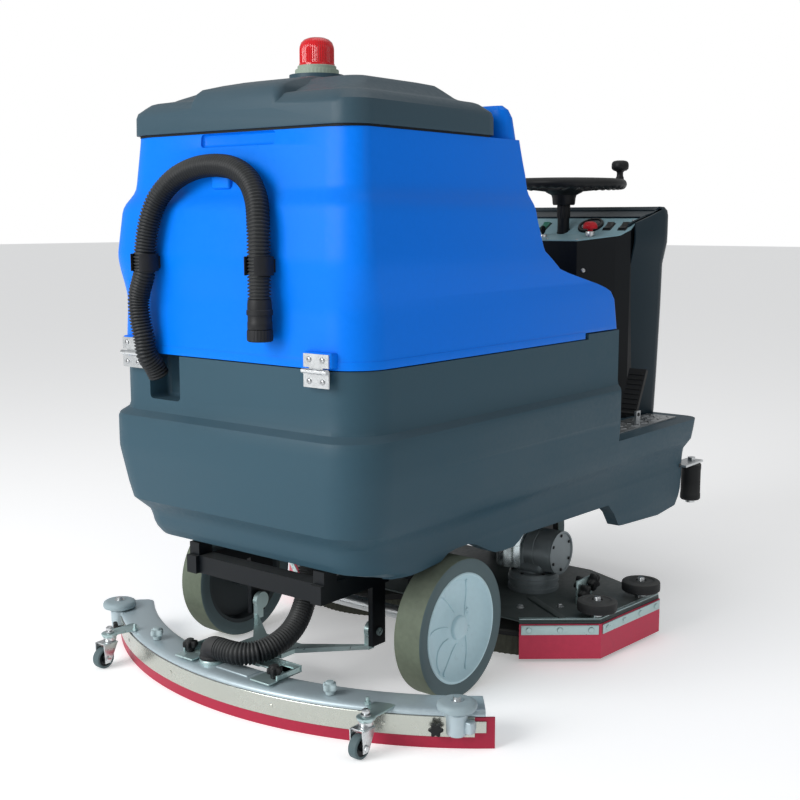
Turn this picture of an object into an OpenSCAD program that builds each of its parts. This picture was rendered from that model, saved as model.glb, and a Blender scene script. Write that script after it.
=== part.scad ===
// Ride-on floor scrubber dryer. Millimetres, +Z up, the machine drives towards -Y.
// The origin is on the floor under the middle of the machine.

/* [Overall] */
// Half of the machine's length, from the origin to the bumper rollers
half_len = 812; // [800:1:830]
// Width of the tanks at their widest band
body_w = 762; // [740:1:800]
// Height of the seam between the two tanks
seam_z = 737; // [725:1:750]
// Height of the tank's top edge, where the lid closes
rim_z = 1198; // [1190:1:1260]

/* [Wheels] */
// Radius of the rear wheels
rear_r = 152.5; // [140:0.5:154]
// Width of the rear tyres
rear_w = 72; // [50:1:80]
// Outer face of a rear tyre from the middle plane
rear_face_x = 364; // [355:1:375]
// Distance of the rear axle behind the origin
axle_y = 415; // [405:1:425]
// Radius of the rear axle
axle_r = 15; // [10:0.5:20]
// Radius of the steered front wheel
drive_r = 125; // [100:1:130]
// Width of the steered front wheel
drive_w = 70; // [40:1:74]
// Distance of the front wheel before the origin
drive_y = 450; // [445:1:470]

/* [Brush deck] */
// Diameter of each disc brush
brush_d = 450; // [380:1:460]
// Distance of each brush from the middle plane
brush_x = 236; // [232:1:240]
// Thickness of the deck's steel plate
deck_t = 5; // [3:0.5:8]
// Height of the deck's top face
deck_z = 102; // [100:1:106]

/* [Squeegee] */
// Chord of the curved squeegee over its blade ends
squeegee_w = 1134; // [1000:1:1160]
// Radius of the squeegee's curve
squeegee_r = 876; // [800:1:1000]
// Rearmost line of the squeegee blade
squeegee_y = 800; // [790:1:802]
// Thickness of the rubber blades
blade_t = 5; // [3:0.5:7]

/* [Console] */
// Distance of the steering column before the origin
column_y = 588; // [580:1:592]
// Height of the steering wheel's rim
wheel_z = 1124; // [1110:1:1150]
// Outer radius of the steering wheel
wheel_r = 177; // [150:1:178]
// Height of the cowl's top edge
cowl_z = 1056; // [1045:1:1070]

/* [Fits] */
// Radial clearance of a turning fit
fit = 0.05; // [0.02:0.01:0.1]
// Gap between neighbouring covers
gap = 2.5; // [1:0.5:4]
// Wall of the moulded tanks
tank_wall = 8; // [5:0.5:10]

/* [Hidden] */
$fn = 48;
half_w = body_w / 2;
// The rear faces of both tanks, measured at the seam
rear_y = 755;
// Front of the seat base and top of the foot platform
seat_front = -262;
floor_z = 467;
// Hinge line of the recovery tank
tank_hinge_y = 774;
tank_hinge_z = seam_z + 1;
// Hinge line of the lid
lid_hinge_y = 238;
lid_hinge_z = rim_z + 30;
lid_x = 328;
// Frame rails
rail_x = 118;
rail_w = 40;
hanger_x = 237;
rail_z = 240;
rail_h = 40;
// Tow eye under the front of the frame
tow_y = -669;
tow_t = 12;
tow_r = 11;
// Pivots of the deck's lift arms
link_y = 215;
link_z = 215;
deck_pin_y = 10;
deck_pin_z = 150;
// Pivot of the squeegee arm and of the squeegee on it
arm_x = 171;
arm_y = 490;
arm_z = 130;
swing_y = 640;
caster_x = 386;
caster_y = half_len - 24;
end_roller_x = 509;
end_roller_y = 639;
port_x = 60;
bumper_x = 330;
bumper_y = -half_len + 29;
pedal_y = -500;
pedal_z = 498;
pedal_x = -266;
stop_x = -112;
stop_y = -545;
squeegee_cy = squeegee_y - squeegee_r;
blade_half = asin(squeegee_w / 2 / squeegee_r);

// The drain hose: middle line and radius
drain_r = 21.5;
drain_route = [
  [204, 752, 690], [206, 765, 715], [209, 780, 738], [212, 785, 775], [220, 787, 815], [222, 787, 860],
  [203, 786, 912], [201, 786, 935], [199, 786, 958], [194, 782, 1000], [184, 776, 1040], [166, 768, 1075],
  [130, 757, 1108], [80, 750, 1127], [22, 747, 1132], [-36, 750, 1124], [-84, 758, 1100], [-116, 770, 1062],
  [-131, 781, 1018], [-136, 786, 975], [-136, 786, 935], [-136, 786, 900], [-136, 786, 870]
];
// The vacuum hose from the tank's outlet to the squeegee's elbow
vacuum_r = 23;
vacuum_route = [
  [-40, 548, 300], [-42, 550, 262], [-46, 560, 220], [-54, 582, 186], [-62, 612, 158], [-66, 648, 138],
  [-62, 690, 124], [-46, 725, 116], [-18, 747, 114], [10, 752, 114], [34, 752, 114]
];

// ---- small helpers -------------------------------------------------------

// A straight round bar along X
module bar_x(x0, x1, y, z, r, sides = 48) {
  translate([x0, y, z]) rotate([0, 90, 0]) cylinder(h = x1 - x0, r = r, $fn = sides);
}

// A standing round bar
module post(x, y, z0, z1, r, sides = 48) {
  translate([x, y, z0]) cylinder(h = z1 - z0, r = r, $fn = sides);
}

// A box from its lowest to its highest corner
module block(a, b) {
  translate(a) cube(b - a);
}

// The same child on both sides of the machine
module both_sides() {
  children();
  mirror([1, 0, 0]) children();
}

// A side outline, given as y and z, run across the machine between two x
module side_prism(x0, x1, points) {
  translate([x0, 0, 0]) rotate([90, 0, 90]) linear_extrude(height = x1 - x0) polygon(points);
}

// A rear outline, given as x and z, run along the machine between two y
module rear_prism(y0, y1, points) {
  translate([0, y1, 0]) rotate([90, 0, 0]) linear_extrude(height = y1 - y0) polygon(points);
}

// A half outline of x and z, mirrored to the other side
function mirrored(points) =
  concat(points, [for (i = [len(points) - 1 : -1 : 0]) [-points[i][0], points[i][1]]]);

// A plate in plan with round corners, the front pair of their own radius
module cornered_plate(x, y0, y1, z0, z1, front_r, rear_r) {
  middle = (y0 + y1) / 2;
  translate([0, 0, z0]) linear_extrude(height = z1 - z0) union() {
    translate([-x + front_r, y0]) square([2 * (x - front_r), middle - y0 + 1]);
    translate([-x + rear_r, middle]) square([2 * (x - rear_r), y1 - middle]);
    translate([-x, y0 + front_r]) square([2 * x, y1 - y0 - front_r - rear_r]);
    for (sx = [-1, 1]) {
      translate([sx * (x - front_r), y0 + front_r]) circle(front_r);
      translate([sx * (x - rear_r), y1 - rear_r]) circle(rear_r);
    }
  }
}

module round_plate(x, y0, y1, z0, z1, r) {
  cornered_plate(x, y0, y1, z0, z1, r, r);
}

// ---- swept tubes -----------------------------------------------------------

function unit(v) = v / norm(v);
function route_dir(p, i) =
  i == 0 ? unit(p[1] - p[0])
  : i == len(p) - 1 ? unit(p[i] - p[i - 1])
  : unit(unit(p[i + 1] - p[i]) + unit(p[i] - p[i - 1]));
// Each ring's side direction is the last one's, turned square to the new direction
function carried(p, i, last) = let (d = route_dir(p, i)) unit(last - d * (last * d));
function ring_sides(p, i = 0, last = [0.9, 0.3, 0.2], found = []) =
  i == len(p) ? found
  : let (s = carried(p, i, last)) ring_sides(p, i + 1, s, concat(found, [s]));

// A closed round tube along a route
module swept_tube(p, r, sides = 12) {
  across = ring_sides(p);
  points = [
    for (i = [0 : len(p) - 1])
      let (d = route_dir(p, i), s = across[i], t = cross(d, s))
        for (k = [0 : sides - 1])
          p[i] + r * (cos(360 * k / sides) * s + sin(360 * k / sides) * t)
  ];
  faces = concat(
    [[for (k = [sides - 1 : -1 : 0]) k]],
    [for (i = [0 : len(p) - 2], k = [0 : sides - 1])
      let (a = i * sides + k, b = i * sides + (k + 1) % sides)
        [a, b, b + sides, a + sides]],
    [[for (k = [0 : sides - 1]) (len(p) - 1) * sides + k]]
  );
  polyhedron(points, [for (f = faces) [for (k = [len(f) - 1 : -1 : 0]) f[k]]], convexity = 6);
}

// ---- chassis ----------------------------------------------------------------

// Welded frame: two rails, cross members, axle hangers, squeegee posts and steering plate
module frame() {
  color("#1d1f21") difference() {
    union() {
      both_sides() {
        block([rail_x - rail_w / 2, -640, rail_z], [rail_x + rail_w / 2, arm_y - 2, rail_z + rail_h]);
        block([arm_x + 1, arm_y - 22, rail_z], [arm_x + 31, 690, rail_z + rail_h]);
        // Axle hanger and squeegee post
        block([hanger_x - 8, axle_y - 26, 120], [hanger_x + 8, axle_y + 20, rail_z + 1]);
        block([arm_x + 9, arm_y - 22, 100], [arm_x + 21, arm_y + 22, rail_z + 1]);
        // Ear of the deck's lift arm
        block([104, link_y - 18, link_z - 20], [112, link_y + 18, rail_z + 5]);
      }
      block([-rail_x, link_y - 20, rail_z], [rail_x, link_y + 20, rail_z + rail_h]);
      block([-hanger_x - 8, axle_y - 26, rail_z], [hanger_x + 8, axle_y + 14, rail_z + rail_h]);
      block([-arm_x - 30, arm_y - 22, rail_z], [arm_x + 30, arm_y, rail_z + rail_h]);
      block([-arm_x - 30, 640, rail_z], [arm_x + 30, 680, rail_z + rail_h]);
      // Steering plate under the foot platform
      block([-rail_x, -640, rail_z + rail_h], [rail_x, -380, rail_z + rail_h + 10]);
      // Tow eye and jack pads
      block([-30, tow_y - 31, rail_z + rail_h - tow_t], [30, -600, rail_z + rail_h]);
      both_sides() block([rail_x - 22, 255, rail_z - 14], [rail_x + 22, 325, rail_z]);
      // Pads that carry the tank
      both_sides() {
        block([arm_x + 1, 640, rail_z + rail_h - 1], [arm_x + 31, 680, 308]);
        block([rail_x - 20, 100, rail_z + rail_h - 1], [rail_x + 20, 190, 308]);
        block([rail_x - 20, -270, rail_z + rail_h - 1], [rail_x + 20, -190, 308]);
      }
    }
    bar_x(-260, 260, axle_y, rear_r, axle_r + fit);
    bar_x(-260, 260, arm_y, arm_z, 9 + fit);
    bar_x(-130, 130, link_y, link_z, 10 + fit);
    post(0, -drive_y, rail_z, 320, 20 + fit);
    post(0, -column_y, rail_z, 320, 12 + fit);
    post(0, tow_y, rail_z, 320, tow_r);
  }
}

// Lower tank with the battery bay, the front foot platform and the drain hose's slot
module solution_tank() {
  color("#3a444c") difference() {
    intersection() {
      side_prism(-half_w, half_w, [
        [rear_y, seam_z], [rear_y, 612], [776, 600], [776, 524], [757, 408], [724, 378], [718, 350],
        [700, 318], [598, 296], [456, 305], [430, 318], [354, 322], [302, 304], [246, 279], [169, 276],
        [130, 298], [-279, 290], [-339, 223], [-575, 208], [-714, 217], [-742, 260], [-748, 440],
        [-735, floor_z], [-258, floor_z], [seat_front, seam_z + 13], [-108, seam_z + 13], [-108, seam_z]
      ]);
      rear_prism(-760, 790, mirrored([
        [half_w - 20, seam_z + 20], [half_w - 20, 612], [half_w, 600], [half_w, 524], [half_w - 18, 408],
        [half_w - 43, 378], [half_w - 47, 200]
      ]));
      cornered_plate(half_w, -748, 776, 200, seam_z + 20, 50, 90);
    }
    // Battery bay, open under the recovery tank
    block([-290, 200, 335], [290, 690, seam_z + 50]);
    // Hollow over the brush motors
    both_sides() block([110, -165, 200], [322, 70, 392]);
    block([-111, 0, 200], [111, 250, 330]);
    // Flat underside over the frame, and the hollow under the foot platform
    block([-300, -300, 200], [300, 690, 308]);
    block([-300, -715, 200], [300, -299, floor_z - 27]);
    post(0, -column_y, 400, 500, 30);
    // Slot for the drain hose
    block([136, 700, 640], [232, 800, seam_z + 20]);
    // Pockets of the bumper brackets
    both_sides() block([bumper_x - 28, -790, 323], [bumper_x + 28, -690, 334]);
  }
  // Pads of the lower hinge leaves
  color("#3a444c") both_sides() difference() {
    block([232, rear_y - 2, 700], [304, 768, seam_z - 4]);
    block([230, 700, 690], [232.2, 800, seam_z]);
  }
}

// Deep-cycle batteries in the bay
module battery_pack() {
  color("#24272a") for (i = [0 : 2], j = [0 : 1]) {
    translate([-273 + i * 184, 220 + j * 232, 335]) {
      cube([178, 226, 250]);
      translate([8, 8, 250]) cube([162, 210, 16]);
      for (dy = [30, 196]) translate([35, dy, 266]) cylinder(h = 14, r = 8);
    }
  }
}

cowl_plan = [[218, -606], [246, -686], [255, -712], [243, -738], [208, -752]];
cowl_plan_in = [[211, -600], [211, -608], [238, -688], [246, -711], [236, -732], [205, -745]];

// Front shell of the console, open towards the operator
module front_cowl() {
  color("#333c43") difference() {
    cowl_form(cowl_plan, 0, floor_z + 1, cowl_z);
    cowl_form(cowl_plan_in, 8, floor_z - 10, cowl_z - 20);
    // Sloping opening over the control panel
    side_prism(-212, 212, [
      [-590, 1010], [-590, 1200], [-690, 1200], [-712, cowl_z + 1], [-660, 1033], [-606, 1002]
    ]);
    block([-219, -610, 900], [219, -590, 1100]);
    block([-250, -700, 1034], [-211, -600, 1100]);
    block([211, -700, 1034], [250, -600, 1100]);
  }
}

module cowl_form(plan, inset, z0, z1) {
  intersection() {
    translate([0, 0, z0]) linear_extrude(height = z1 - z0) polygon(mirrored(plan));
    rear_prism(-760, -590, mirrored([
      [255 - inset, 1200], [255 - inset, 962], [236 - inset, 900], [228 - inset, 400]
    ]));
  }
}

housing_plan = [[105, -486], [185, -560], [210, -600], [210, -652]];
housing_plan_in = [[101, -489], [181, -562], [206, -601], [206, -660]];
housing_top = [[-480, 200], [-480, 963.5], [-572, 980.5], [-656, 1025.5], [-656, 200]];

// Sheet-metal box around the steering column
module column_housing() {
  color("#15181a") difference() {
    intersection() {
      translate([0, 0, floor_z]) linear_extrude(height = 600) polygon(mirrored(housing_plan));
      side_prism(-220, 220, housing_top);
    }
    translate([0, 0, floor_z - 1]) linear_extrude(height = 700) polygon(mirrored(housing_plan_in));
  }
}

panel_profile = [[-483, 965], [-483, 968], [-572, 984], [-654, 1029], [-654, 1026], [-572, 981]];

// Light grey sheet panel with the controls
module control_panel() {
  color("#b9c1c4") difference() {
    intersection() {
      translate([0, 0, 900]) linear_extrude(height = 200) polygon(mirrored(housing_plan));
      side_prism(-220, 220, panel_profile);
    }
    post(0, -column_y, 900, 1100, 19);
    post(stop_x, stop_y, 900, 1100, 9);
    post(34, -532, 900, 1100, 6);
    for (x = [74, -136, -184]) block([x - 13, -629, 900], [x + 13, -591, 1100]);
  }
}

// Tread plates on the foot platform and the pedal's bracket
module pedal_base() {
  color("#9aa0a3") {
    difference() {
      union() {
        both_sides() block([232, -690, floor_z + 0.5], [322, -330, floor_z + 3.5]);
        for (x = [pedal_x - 34, pedal_x + 28]) {
          block([x, pedal_y - 12, floor_z + 3], [x + 6, pedal_y + 12, pedal_z + 10]);
        }
      }
      bar_x(pedal_x - 60, pedal_x + 60, pedal_y, pedal_z, 5 + fit);
    }
  }
}

// Zinc brackets with the pins that carry the bumper rollers
module bumper_brackets() {
  color("#aab0b2") both_sides() {
    block([bumper_x - 25, bumper_y - 26, 325], [bumper_x + 25, -695, 331]);
    post(bumper_x, bumper_y, 207, 338, 7);
    post(bumper_x, bumper_y, 207, 213, 14);
    post(bumper_x, bumper_y, 331, 340, 12, 6);
  }
}

hinge_x = 268;

// Fixed leaves, pins and end knuckles of the tank's hinges
module lower_hinges() {
  color("#c3c7c8") both_sides() {
    block([hinge_x - 32, 768, seam_z - 31], [hinge_x + 32, 771, seam_z - 5]);
    for (x = [hinge_x - 32, hinge_x + 18]) {
      block([x, 768, seam_z - 6], [x + 14, 772, tank_hinge_z]);
      bar_x(x, x + 14, tank_hinge_y, tank_hinge_z, 5);
    }
    bar_x(hinge_x - 32, hinge_x + 32, tank_hinge_y, tank_hinge_z, 2.5);
  }
}

// Stub axle through both rear hubs
module rear_axle() {
  color("#8d9294") bar_x(-rear_face_x + 20, rear_face_x - 20, axle_y, rear_r, axle_r);
}

// Linear actuator that raises the squeegee by its chain
module lift_actuator() {
  color("#17191b") {
    translate([-156, 513, 252]) rotate([0, 120, 0]) {
      cylinder(h = 80, r = 17);
      cylinder(h = 118, r = 7);
    }
    block([-170, arm_y + 0.4, 244], [-148, 505, 262]);
  }
}

// Vacuum hose between the recovery tank's outlet and the squeegee
module vacuum_hose() {
  color("#15171a") swept_tube(vacuum_route, vacuum_r);
}

// ---- recovery tank -----------------------------------------------------------

// Upper tank with the seat recess; hollow, open under the lid
module recovery_tank() {
  color("#0a62c9") difference() {
    intersection() {
      side_prism(-half_w, half_w, [
        [rear_y, seam_z + gap], [750, 856], [760, 942], [748, 1053], [727, 1081], [715, rim_z],
        [252, rim_z], [250, rim_z - 6], [208, rim_z - 6], [206, 1262], [196, 1272], [180, 1268], [160, 1245],
        [129, 1121], [120, 1028], [99, 955], [18, 908], [-194, 863], [-234, 848], [-252, 828],
        [seat_front - 2, seam_z + 13 + gap], [-108 + gap, seam_z + 13 + gap], [-108 + gap, seam_z + gap]
      ]);
      rear_prism(-280, 780, mirrored([
        [half_w - 20, seam_z - 10], [half_w - 25, 856], [half_w - 15, 942], [half_w - 27, 1053],
        [half_w - 48, 1081], [half_w - 58, rim_z], [half_w - 62, 1300]
      ]));
      cornered_plate(half_w, -266, 776, seam_z - 10, 1300, 25, 90);
    }
    // Seat recess between the side wings
    block([-238, -300, 768], [238, 165, 1300]);
    // Tank room
    block([-345, 180, seam_z + gap + tank_wall], [345, 738, 1045]);
    block([-312, 216, 1040], [312, 704, rim_z + 20]);
    // Hollows of the side wings
    both_sides() block([246, -180, 768], [345, 172, 850]);
    // Finger pocket under the lid
    block([-118, 709, 1170], [94, 740, 1194]);
  }
  color("#0a62c9") {
    // Pads of the upper hinge leaves
    both_sides() block([hinge_x - 36, 740, seam_z + gap + 3], [hinge_x + 36, 768, seam_z + 37]);
    // Lugs and pins of the lid's hinge
    both_sides() {
      block([161, 230, rim_z - 10], [175, 246, lid_hinge_z + 8]);
      bar_x(148, 165, lid_hinge_y, lid_hinge_z, 4);
    }
  }
}

// Seat and back cushions of the operator
module seat_pads() {
  color("#1b1b1d") {
    round_plate(226, -226, 112, 768.5, 842, 40);
    intersection() {
      rear_prism(119, 164.5, mirrored([[190, 1190], [222, 1150], [226, 890], [200, 862]]));
      block([-230, 100, 850], [230, 165, 1200]);
    }
  }
}

// Swinging leaves of the tank's hinges
module upper_hinges() {
  color("#c3c7c8") difference() {
    both_sides() {
      block([hinge_x - 32, 768.2, seam_z + 8], [hinge_x + 32, 771.2, seam_z + 34]);
      block([hinge_x - 17.5, 768.2, tank_hinge_z], [hinge_x + 17.5, 771.2, seam_z + 10]);
      bar_x(hinge_x - 17.5, hinge_x + 17.5, tank_hinge_y, tank_hinge_z, 5);
    }
    both_sides() bar_x(hinge_x - 40, hinge_x + 40, tank_hinge_y, tank_hinge_z, 2.5 + fit);
  }
}

// Two spring clips that hold the drain hose
module hose_clips() {
  color("#16181a") for (x = [201, -136]) {
    difference() {
      union() {
        post(x, 786, 917, 953, 29);
        block([x - 20, 755, 922], [x + 20, 775, 948]);
      }
      post(x, 786, 900, 970, 24);
      block([x - 13, 790, 900], [x + 13, 830, 970]);
      block([x - 40, 740, 900], [x + 40, 760.5, 970]);
    }
  }
}

// Vacuum motor and float cage inside the tank
module suction_unit() {
  color("#6d7376") {
    post(-205, 300, 1040, 1180, 70);
    block([-240, 216.5, 1080], [-170, 240, 1160]);
    block([-140, 275, 1140], [160, 325, 1175]);
    difference() {
      post(205, 300, 960, 1180, 50);
      post(205, 300, 940, 1100, 45);
      for (a = [0 : 45 : 315])
        translate([205, 300, 970]) rotate([0, 0, a]) translate([35, -6, 0]) cube([30, 12, 110]);
    }
  }
}

// Corrugated drain hose, from the tank's foot over the hook and down to its cuff
module drain_hose() {
  color("#15171a") swept_tube(drain_route, drain_r);
}

// Moulded cuff at the hose's free end
module drain_cuff() {
  color("#1a1c1e") difference() {
    union() {
      post(-136, 786, 812, 870, 24);
      post(-136, 786, 840, 850, 26);
    }
    post(-136, 786, 800, 862, 19);
  }
}

// Plug that closes the cuff
module drain_cap() {
  color("#141617") {
    post(-136, 786, 788, 811.5, 25.5);
    post(-136, 786, 800, 838, 19 - fit);
  }
}

// ---- lid -----------------------------------------------------------------------

// Two-tier lid with a pad for the beacon
module tank_lid() {
  color("#4a5359") difference() {
    union() {
      difference() {
        intersection() {
          side_prism(-lid_x, lid_x, [
            [723, rim_z + 5], [723, rim_z + 48], [700, rim_z + 70], [640, rim_z + 78], [600, rim_z + 102],
            [520, rim_z + 120], [400, rim_z + 120], [330, rim_z + 104], [300, rim_z + 86], [255, rim_z + 78],
            [222, rim_z + 54], [222, rim_z + 5]
          ]);
          rear_prism(200, 730, mirrored([
            [lid_x, rim_z], [lid_x, rim_z + 48], [lid_x - 23, rim_z + 70], [lid_x - 58, rim_z + 78],
            [lid_x - 93, rim_z + 102], [60, rim_z + 120]
          ]));
          round_plate(lid_x, 222, 723, rim_z, rim_z + 130, 65);
        }
        block([-lid_x + 14, 236, rim_z - 10], [lid_x - 14, 709, rim_z + 48]);
        block([-215, 325, rim_z], [215, 610, rim_z + 86]);
      }
      post(0, 462, rim_z + 100, rim_z + 134, 60);
      both_sides() block([148, 226, lid_hinge_z - 12], [158, 248, rim_z + 50]);
    }
    both_sides() {
      bar_x(140, 162, lid_hinge_y, lid_hinge_z, 4 + fit);
      block([158.2, 200, rim_z - 10], [178, 236.5, rim_z + 50]);
    }
    // The hinge ear stays clear of the tank's front edge
    block([140, 200, rim_z - 10], [159, 226, rim_z + 22]);
    mirror([1, 0, 0]) block([140, 200, rim_z - 10], [159, 226, rim_z + 22]);
  }
}

// Ribbed foot of the warning beacon
module beacon_base() {
  color("#a9b5a4") {
    post(0, 462, rim_z + 134, rim_z + 146, 47.5);
    post(0, 462, rim_z + 146, rim_z + 154, 42);
  }
}

// Red lens of the warning beacon
module beacon_dome() {
  color("#c8102a") translate([0, 462, rim_z + 154]) rotate_extrude()
    polygon([
      [0, 0], [38.5, 0], [38.5, 34], for (a = [15 : 15 : 90]) [38.5 * cos(a), 34 + 26 * sin(a)]
    ]);
}

// ---- steering -------------------------------------------------------------------

// Four-spoke rim with its hub
module steering_wheel() {
  color("#16191b") translate([0, -column_y, wheel_z]) {
    rotate_extrude($fn = 96) translate([wheel_r - 15, 0]) circle(15, $fn = 24);
    difference() {
      union() {
        translate([0, 0, -58]) cylinder(h = 50, r = 25);
        translate([0, 0, -26]) cylinder(h = 44, r1 = 58, r2 = 38);
      }
      translate([0, 0, -64]) cylinder(h = 74, r = 17 + fit);
    }
    for (a = [45, 135, 225, 315]) rotate([0, 0, a])
      translate([45, -13, -21]) rotate([0, -5, 0]) cube([wheel_r - 60, 26, 12]);
  }
}

// Steering shaft with its chain sprocket
module steering_shaft() {
  color("#1c1e20") {
    post(0, -column_y, 420, wheel_z + 9, 17);
    post(0, -column_y, rail_z - 5, 421, 12);
    post(0, -column_y, rail_z + rail_h + 32, rail_z + rail_h + 38, 24.5);
    post(0, -column_y, rail_z - 5, rail_z - 1, 20);
  }
}

knob_a = 223;
knob_x = (wheel_r - 15) * cos(knob_a);
knob_y = -column_y + (wheel_r - 15) * sin(knob_a);

// Spinner knob on the rim
module spinner_knob() {
  color("#121416") translate([knob_x, knob_y, wheel_z + 15.3]) rotate_extrude()
    polygon([
      [0, 0], [11, 0], [11, 5], [9, 9], [9, 20], [17, 23], [24, 29], [24.5, 41], [21, 49], [12, 53], [0, 53]
    ]);
}

// Turret fork of the front wheel with its drive motor and chain wheel
module drive_fork() {
  color("#2a2d30") translate([0, -drive_y, 0]) {
    cylinder_at(258, 272, 68);
    cylinder_at(260, 330, 20);
    cylinder_at(rail_z + rail_h + 32, rail_z + rail_h + 38, 60.8);
    both_sides() translate([drive_w / 2 + 6, -28, 95]) cube([9, 56, 168]);
    bar_x(drive_w / 2 + 14, drive_w / 2 + 72, 0, drive_r, 54);
    bar_x(-drive_w / 2 - 18, drive_w / 2 + 20, 0, drive_r, 10);
  }
}

module cylinder_at(z0, z1, r) {
  translate([0, 0, z0]) cylinder(h = z1 - z0, r = r);
}

// Front wheel with its solid tyre
module drive_wheel() {
  color("#4b4f52") difference() {
    union() {
      bar_x(-drive_w / 2, drive_w / 2, -drive_y, drive_r, drive_r - 6, 96);
      bar_x(-drive_w / 2 + 6, drive_w / 2 - 6, -drive_y, drive_r, drive_r, 96);
    }
    bar_x(-drive_w, drive_w, -drive_y, drive_r, 10 + fit);
  }
}

// ---- rear wheels --------------------------------------------------------------------

rim_r = 121.5;

// Grey non-marking tyre
module rear_tyre() {
  color("#6f7674") difference() {
    union() {
      bar_x(rear_face_x - rear_w, rear_face_x, axle_y, rear_r, rear_r - 7, 96);
      bar_x(rear_face_x - rear_w + 7, rear_face_x - 7, axle_y, rear_r, rear_r, 96);
    }
    bar_x(0, 500, axle_y, rear_r, rim_r, 96);
  }
}

// Moulded hub with curved ribs and a centre cap
module rear_hub() {
  color("#a9bdc8") difference() {
    union() {
      difference() {
        bar_x(rear_face_x - rear_w + 4, rear_face_x - 4, axle_y, rear_r, rim_r, 96);
        bar_x(rear_face_x - 26, rear_face_x, axle_y, rear_r, rim_r - 8, 96);
        bar_x(200, rear_face_x - 40, axle_y, rear_r, rim_r - 8, 96);
      }
      bar_x(rear_face_x - rear_w + 2, rear_face_x - 12, axle_y, rear_r, 26);
    }
    bar_x(200, rear_face_x - 19, axle_y, rear_r, axle_r + fit);
  }
}

module rear_tyre_left() { rear_tyre(); }
module rear_tyre_right() { mirror([1, 0, 0]) rear_tyre(); }
module rear_hub_left() { rear_hub(); }
module rear_hub_right() { mirror([1, 0, 0]) rear_hub(); }

// ---- controls --------------------------------------------------------------------------

// Foot pedal hinged at its heel
module accelerator_pedal() {
  color("#17191b") {
    bar_x(pedal_x - 36, pedal_x + 36, pedal_y, pedal_z, 5);
    side_prism(pedal_x - 26, pedal_x + 26, [
      [pedal_y + 4, pedal_z - 5], [pedal_y - 56, pedal_z + 118], [pedal_y - 66, pedal_z + 112],
      [pedal_y - 8, pedal_z - 5]
    ]);
  }
}

// Mushroom button on a bright stem
module emergency_stop() {
  color("#c3272f") {
    post(stop_x, stop_y, 955, 1000, 8.5);
    post(stop_x, stop_y, 999, 1020, 20);
  }
}

// Key in its lock
module key() {
  color("#202325") {
    post(34, -532, 955, 990, 5.5);
    block([31, -544, 985], [37, -520, 1006]);
  }
}

// One rocker in the sloping part of the panel, with its pivot pin
module rocker(x) {
  translate([x, -610, 1005]) rotate([-28.8, 0, 0]) translate([-11, -18, -14]) cube([22, 36, 20]);
  bar_x(x - 12, x + 12, -610, 999, 2.5);
}
module direction_switch() { color("#14705a") rocker(74); }
module vacuum_switch() { color("#141617") rocker(-136); }
module brush_switch() { color("#141617") rocker(-184); }

// ---- bumper rollers ----------------------------------------------------------------------

module bumper_roller() {
  color("#191b1d") difference() {
    post(bumper_x, bumper_y, 215, 323, 29);
    post(bumper_x, bumper_y, 200, 330, 7 + fit);
  }
}
module bumper_roller_left() { bumper_roller(); }
module bumper_roller_right() { mirror([1, 0, 0]) bumper_roller(); }

// ---- brush deck -----------------------------------------------------------------------------

deck_plan = [[348, 165], [495, 45], [515, -215], [415, -243], [275, -302]];
brush_y = -75;
deck_roller_r = 47;

// Arms that carry the deck and keep it level
module deck_link() {
  color("#26292b") {
    bar_x(-103, 103, link_y, link_z, 14);
    bar_x(-118, 118, link_y, link_z, 10);
    both_sides() {
      side_prism(90, 98, [
        [link_y + 8, link_z + 12], [link_y + 8, link_z - 12],
        [deck_pin_y + 10, deck_pin_z - 13], [deck_pin_y - 12, deck_pin_z - 8],
        [deck_pin_y - 12, deck_pin_z + 10], [deck_pin_y + 4, deck_pin_z + 14]
      ]);
      bar_x(78, 92, deck_pin_y, deck_pin_z, 8);
    }
  }
}

// Folded steel deck with its pivot ears, skirt strips and guard brackets
module deck_plate() {
  color("#8a9396") difference() {
    union() {
      translate([0, 0, deck_z - deck_t]) linear_extrude(height = deck_t) polygon(mirrored(deck_plan));
      both_sides() {
        block([80, deck_pin_y - 16, deck_z - 1], [88, deck_pin_y + 16, deck_pin_z + 14]);
        // Guard roller pins
        post(478, 32, deck_z - 8, deck_z + 50, 8);
        post(487, -172, deck_z - 8, deck_z + 50, 8);
        // Clamp bracket behind the rollers
        block([392, -60, deck_z - 1], [400, -20, deck_z + 50]);
      }
      // Wall under the plate's edge, and the clamp strip outside the skirt
      both_sides() {
        edge_wall(-3, 0, 62, deck_z - deck_t + 1);
        edge_wall(3.5, 6.5, 66, 90);
      }
    }
    both_sides() {
      bar_x(70, 95, deck_pin_y, deck_pin_z, 8 + fit);
      post(brush_x, brush_y, 80, 130, 30);
    }
  }
}

// Square outward direction of one edge of the deck
function edge_out(i) =
  let (d = unit(deck_plan[i + 1] - deck_plan[i]), n = [-d[1], d[0]]) n[0] > 0 ? n : -n;
// The deck's rear and side edges, moved outwards by a distance, with a mitred corner
function edge_line(out) =
  let (m = edge_out(0), n = edge_out(1))
    [deck_plan[0] + m * out, deck_plan[1] + (m + n) * (out / (1 + m * n)), deck_plan[2] + n * out];

// A wall along the deck's rear and side edges, between two offsets outwards
module edge_wall(out0, out1, z0, z1) {
  inner = edge_line(out0);
  translate([0, 0, z0]) linear_extrude(height = z1 - z0)
    polygon(concat(edge_line(out1), [inner[2], inner[1], inner[0]]));
}

// Red rubber skirt around the brushes
module deck_skirt() {
  color("#a01f33") both_sides() edge_wall(0.3, 3.3, 8, 92);
}

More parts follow.
